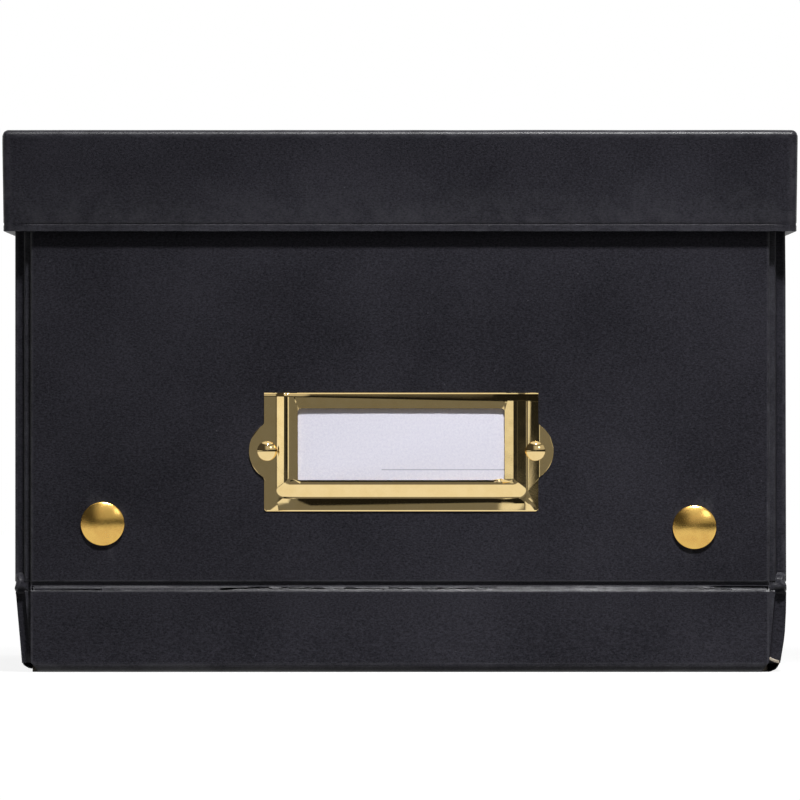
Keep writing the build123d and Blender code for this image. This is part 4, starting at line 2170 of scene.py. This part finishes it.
@dataclass
class Stage:
    """Floor, backdrop, light and camera.

    Attributes:
        frame_width: Width of the view at the front of the box, in metres.
        view_height: Height of the camera and of what it looks at.
        distance: How far the camera stands from the front of the box.
        floor_size: Side of the floor.
        floor_bounce: How much light the floor sends up at the box.
        floor_shadow: How much of the seen floor's brightness the box can shade.
        fill: How bright the light from all round is.
    """

    frame_width: float = 221.4 * MM
    view_height: float = 75.3 * MM
    distance: float = 6.0
    floor_size: float = 12.0
    floor_bounce: float = 0.08
    floor_shadow: float = 0.16
    fill: float = 0.07

    def build(self) -> None:
        """Sets the whole stage up."""
        self.place_camera()
        self.lay_floor()
        self.light_world()
        self.hang_lamps()

    def place_camera(self) -> None:
        """A long lens that looks straight at the front."""
        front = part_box("front_wall_board")[0].y
        data = bpy.data.cameras.new("camera")
        camera = add_object("camera", data)
        camera.location = (0.0, front - self.distance, self.view_height)
        camera.rotation_euler = (math.pi / 2, 0, 0)
        data.sensor_width = 36.0
        data.lens = data.sensor_width * self.distance / self.frame_width
        data.clip_start = 0.05
        data.clip_end = 50.0
        bpy.context.scene.camera = camera

    def lay_floor(self) -> None:
        """A plain white floor that keeps a faint shadow near the box and is plain white further off."""
        put_down()
        bpy.ops.mesh.primitive_plane_add(size=self.floor_size, location=(0, 0, -0.05 * MM))
        floor = bpy.context.object
        floor.name = "floor"
        material = bpy.data.materials.new("floor")
        wiring = fresh_wiring(material)
        rays = wiring.add("ShaderNodeLightPath")
        place = wiring.add("ShaderNodeTexCoord").outputs["Object"]
        away = wiring.add("ShaderNodeVectorMath", {0: place}, operation="LENGTH").outputs["Value"]
        white = wiring.level(away, 0.2, 0.6, 0.88, 1.0)
        near = wiring.level(away, 0.5, 1.1, 0.92, 0.18)
        bounce, shadow = self.floor_bounce, self.floor_shadow
        matt = wiring.add("ShaderNodeBsdfDiffuse", {"Color": (bounce, bounce, bounce, 1.0)})
        pale = wiring.add("ShaderNodeBsdfDiffuse", {"Color": (shadow, shadow, shadow, 1.0)})
        shown = wiring.add("ShaderNodeEmission", {"Color": WHITE, "Strength": white})
        mirrored = wiring.add("ShaderNodeEmission", {"Color": WHITE, "Strength": near})
        lit = wiring.add("ShaderNodeAddShader", {0: pale.outputs[0], 1: shown.outputs[0]})
        unseen = wiring.choose(rays.outputs["Is Glossy Ray"], matt, mirrored)
        both = wiring.choose(rays.outputs["Is Camera Ray"], unseen, lit)
        wiring.add("ShaderNodeOutputMaterial", {"Surface": both.outputs[0]})
        floor.data.materials.append(material)

    def light_world(self) -> None:
        """White behind the box, a soft fill on it, and a studio for the metal to mirror."""
        world = bpy.data.worlds.new("studio")
        bpy.context.scene.world = world
        wiring = fresh_wiring(world)
        rays = wiring.add("ShaderNodeLightPath")
        way = wiring.add("ShaderNodeTexCoord").outputs["Generated"]
        parts = wiring.add("ShaderNodeSeparateXYZ", {"Vector": way})
        fill = wiring.add("ShaderNodeBackground", {"Color": (0.96, 0.97, 1.0, 1.0), "Strength": self.fill})
        white = wiring.add("ShaderNodeBackground", {"Color": WHITE, "Strength": 1.0})
        studio = self.mirrored_studio(wiring, parts)
        mirrored = wiring.add("ShaderNodeBackground", {"Color": studio, "Strength": 1.0})
        lit = wiring.choose(rays.outputs["Is Glossy Ray"], fill, mirrored)
        seen = wiring.choose(rays.outputs["Is Camera Ray"], lit, white)
        wiring.add("ShaderNodeOutputWorld", {"Surface": seen.outputs[0]})

    @staticmethod
    def mirrored_studio(wiring: Wiring, parts: bpy.types.Node) -> bpy.types.NodeSocket:
        """What shiny metal mirrors: a dim room in front, light above and on the left, a pale wall behind.

        Args:
            wiring: The world's wiring.
            parts: The direction split into X, Y and Z.

        Returns:
            The mirrored colour's socket.
        """
        spots = (
            (0.0, 1.0),
            (0.12, 1.0),
            (0.24, 0.05),
            (0.42, 0.12),
            (0.47, 0.18),
            (0.515, 0.18),
            (0.525, 0.85),
            (0.545, 0.85),
            (0.56, 0.015),
            (0.66, 0.015),
            (0.68, 0.4),
            (0.70, 0.015),
            (1.0, 0.02),
        )
        across = wiring.stops(wiring.level(parts.outputs["X"], -1.0, 1.0), spots, (1.0, 1.0, 0.98))
        height = parts.outputs["Z"]
        levels = (
            (0.03, 0.18),
            (0.05, 0.012),
            (0.13, 0.012),
            (0.2, 0.5),
            (0.62, 0.55),
            (0.72, 0.1),
            (0.86, 0.9),
        )
        ceiling = wiring.stops(wiring.level(height, 0.0, 1.0), levels, (1.0, 0.97, 0.92))
        from_left = wiring.level(parts.outputs["X"], -0.35, -0.05)
        upper = wiring.blend(from_left, (0.06, 0.055, 0.05, 1.0), ceiling)
        raised = wiring.level(height, 0.03, 0.05)
        overhead = wiring.level(height, 0.8, 0.86)
        above = wiring.blend(overhead, upper, ceiling)
        front = wiring.blend(raised, across, above)
        behind = wiring.level(parts.outputs["Y"], 0.12, 0.25)
        return wiring.blend(behind, front, (0.9, 0.9, 0.9, 1.0))

    @staticmethod
    def lamp(
        name: str, place: Vector, target: Vector, size: float, watts: float, spread: float = 180.0
    ) -> None:
        """A square soft lamp.

        Args:
            name: Its name.
            place: Where it hangs.
            target: What it points at.
            size: Its side, in metres.
            watts: Its power.
            spread: How widely it fans out, in degrees.
        """
        data = bpy.data.lights.new(name, "AREA")
        data.spread = math.radians(spread)
        data.shape = "SQUARE"
        data.size = size
        data.energy = watts
        lamp = add_object(name, data)
        lamp.location = place
        lamp.rotation_euler = (target - place).to_track_quat("-Z", "Y").to_euler()

    def hang_lamps(self) -> None:
        """The key light, a softbox from the right along the rubbed edges, and a light for the back."""
        middle = Vector((0.0, 0.0, 0.07))
        self.lamp("key", Vector((0.2, -1.15, 1.7)), Vector((0.05, -0.14, -0.02)), 0.2, 1.04, 24.0)
        self.lamp("softbox", Vector((0.9, -1.5, 0.95)), middle, 0.4, 1.6)
        self.lamp("back", Vector((-0.5, 1.6, 1.1)), middle, 0.5, 3.0)


def dress_nodes(materials: Dict[Slot, bpy.types.Material]) -> None:
    """Gives every CAD node the finish of its slot.

    Args:
        materials: The materials by slot.
    """
    for part in frame["record"]["subparts"]:
        node = frame["nodes"][part["node"]]
        node.data.materials.clear()
        node.data.materials.append(materials[Slot(part["material_slot"])])


def main() -> None:
    """Builds and dresses every piece in order."""
    logging.basicConfig(level=logging.INFO, format="%(name)s %(message)s")
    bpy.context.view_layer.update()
    bpy.context.scene.view_settings.view_transform = "Standard"
    Stage().build()
    materials = finishes(Effects())
    dress_nodes(materials)
    right_swell = (
        (0.0, 0.2 * MM),
        (3.3 * MM, 0.7 * MM),
        (10 * MM, 1.2 * MM),
        (17 * MM, 0.95 * MM),
        (24 * MM, 0.4 * MM),
        (60 * MM, 0.3 * MM),
        (118 * MM, 0.2 * MM),
        (123 * MM, 0.05 * MM),
    )
    covers = (
        PaperCover("front_cover", Axis.X, corner_lift=0.6 * MM),
        PaperCover("back_cover", Axis.X, corner_lift=0.6 * MM),
        PaperCover("left_cover", Axis.Y, fold_lift=0.9 * MM),
        PaperCover("right_cover", Axis.Y, swell=right_swell),
    )
    for cover in covers:
        dress(cover.build(), Slot.COVER, materials, "body", [cover.node])
    pleats = CornerPleat().build_all({-1: 0.0, 1: 0.4 * MM})
    dress(pleats, Slot.COVER, materials, "body", [])
    dress(BareCorner().build(), Slot.BOARD, materials, "body", [])
    dress(Lid().build(), Slot.COVER, materials, "lid", ["lid_cover"])
    dress(LabelHolder().build(), Slot.POLISHED, materials, "body", ["label_frame"])
    dress(Rivets().build(), Slot.POLISHED, materials, "body", ["label_rivets"])
    dress(LabelCard().build(), Slot.CARD, materials, "card", ["label_card"])
    dress(PressStuds().build(), Slot.SATIN, materials, "body", ["stud_caps"])


if __name__ == "__main__":
    main()
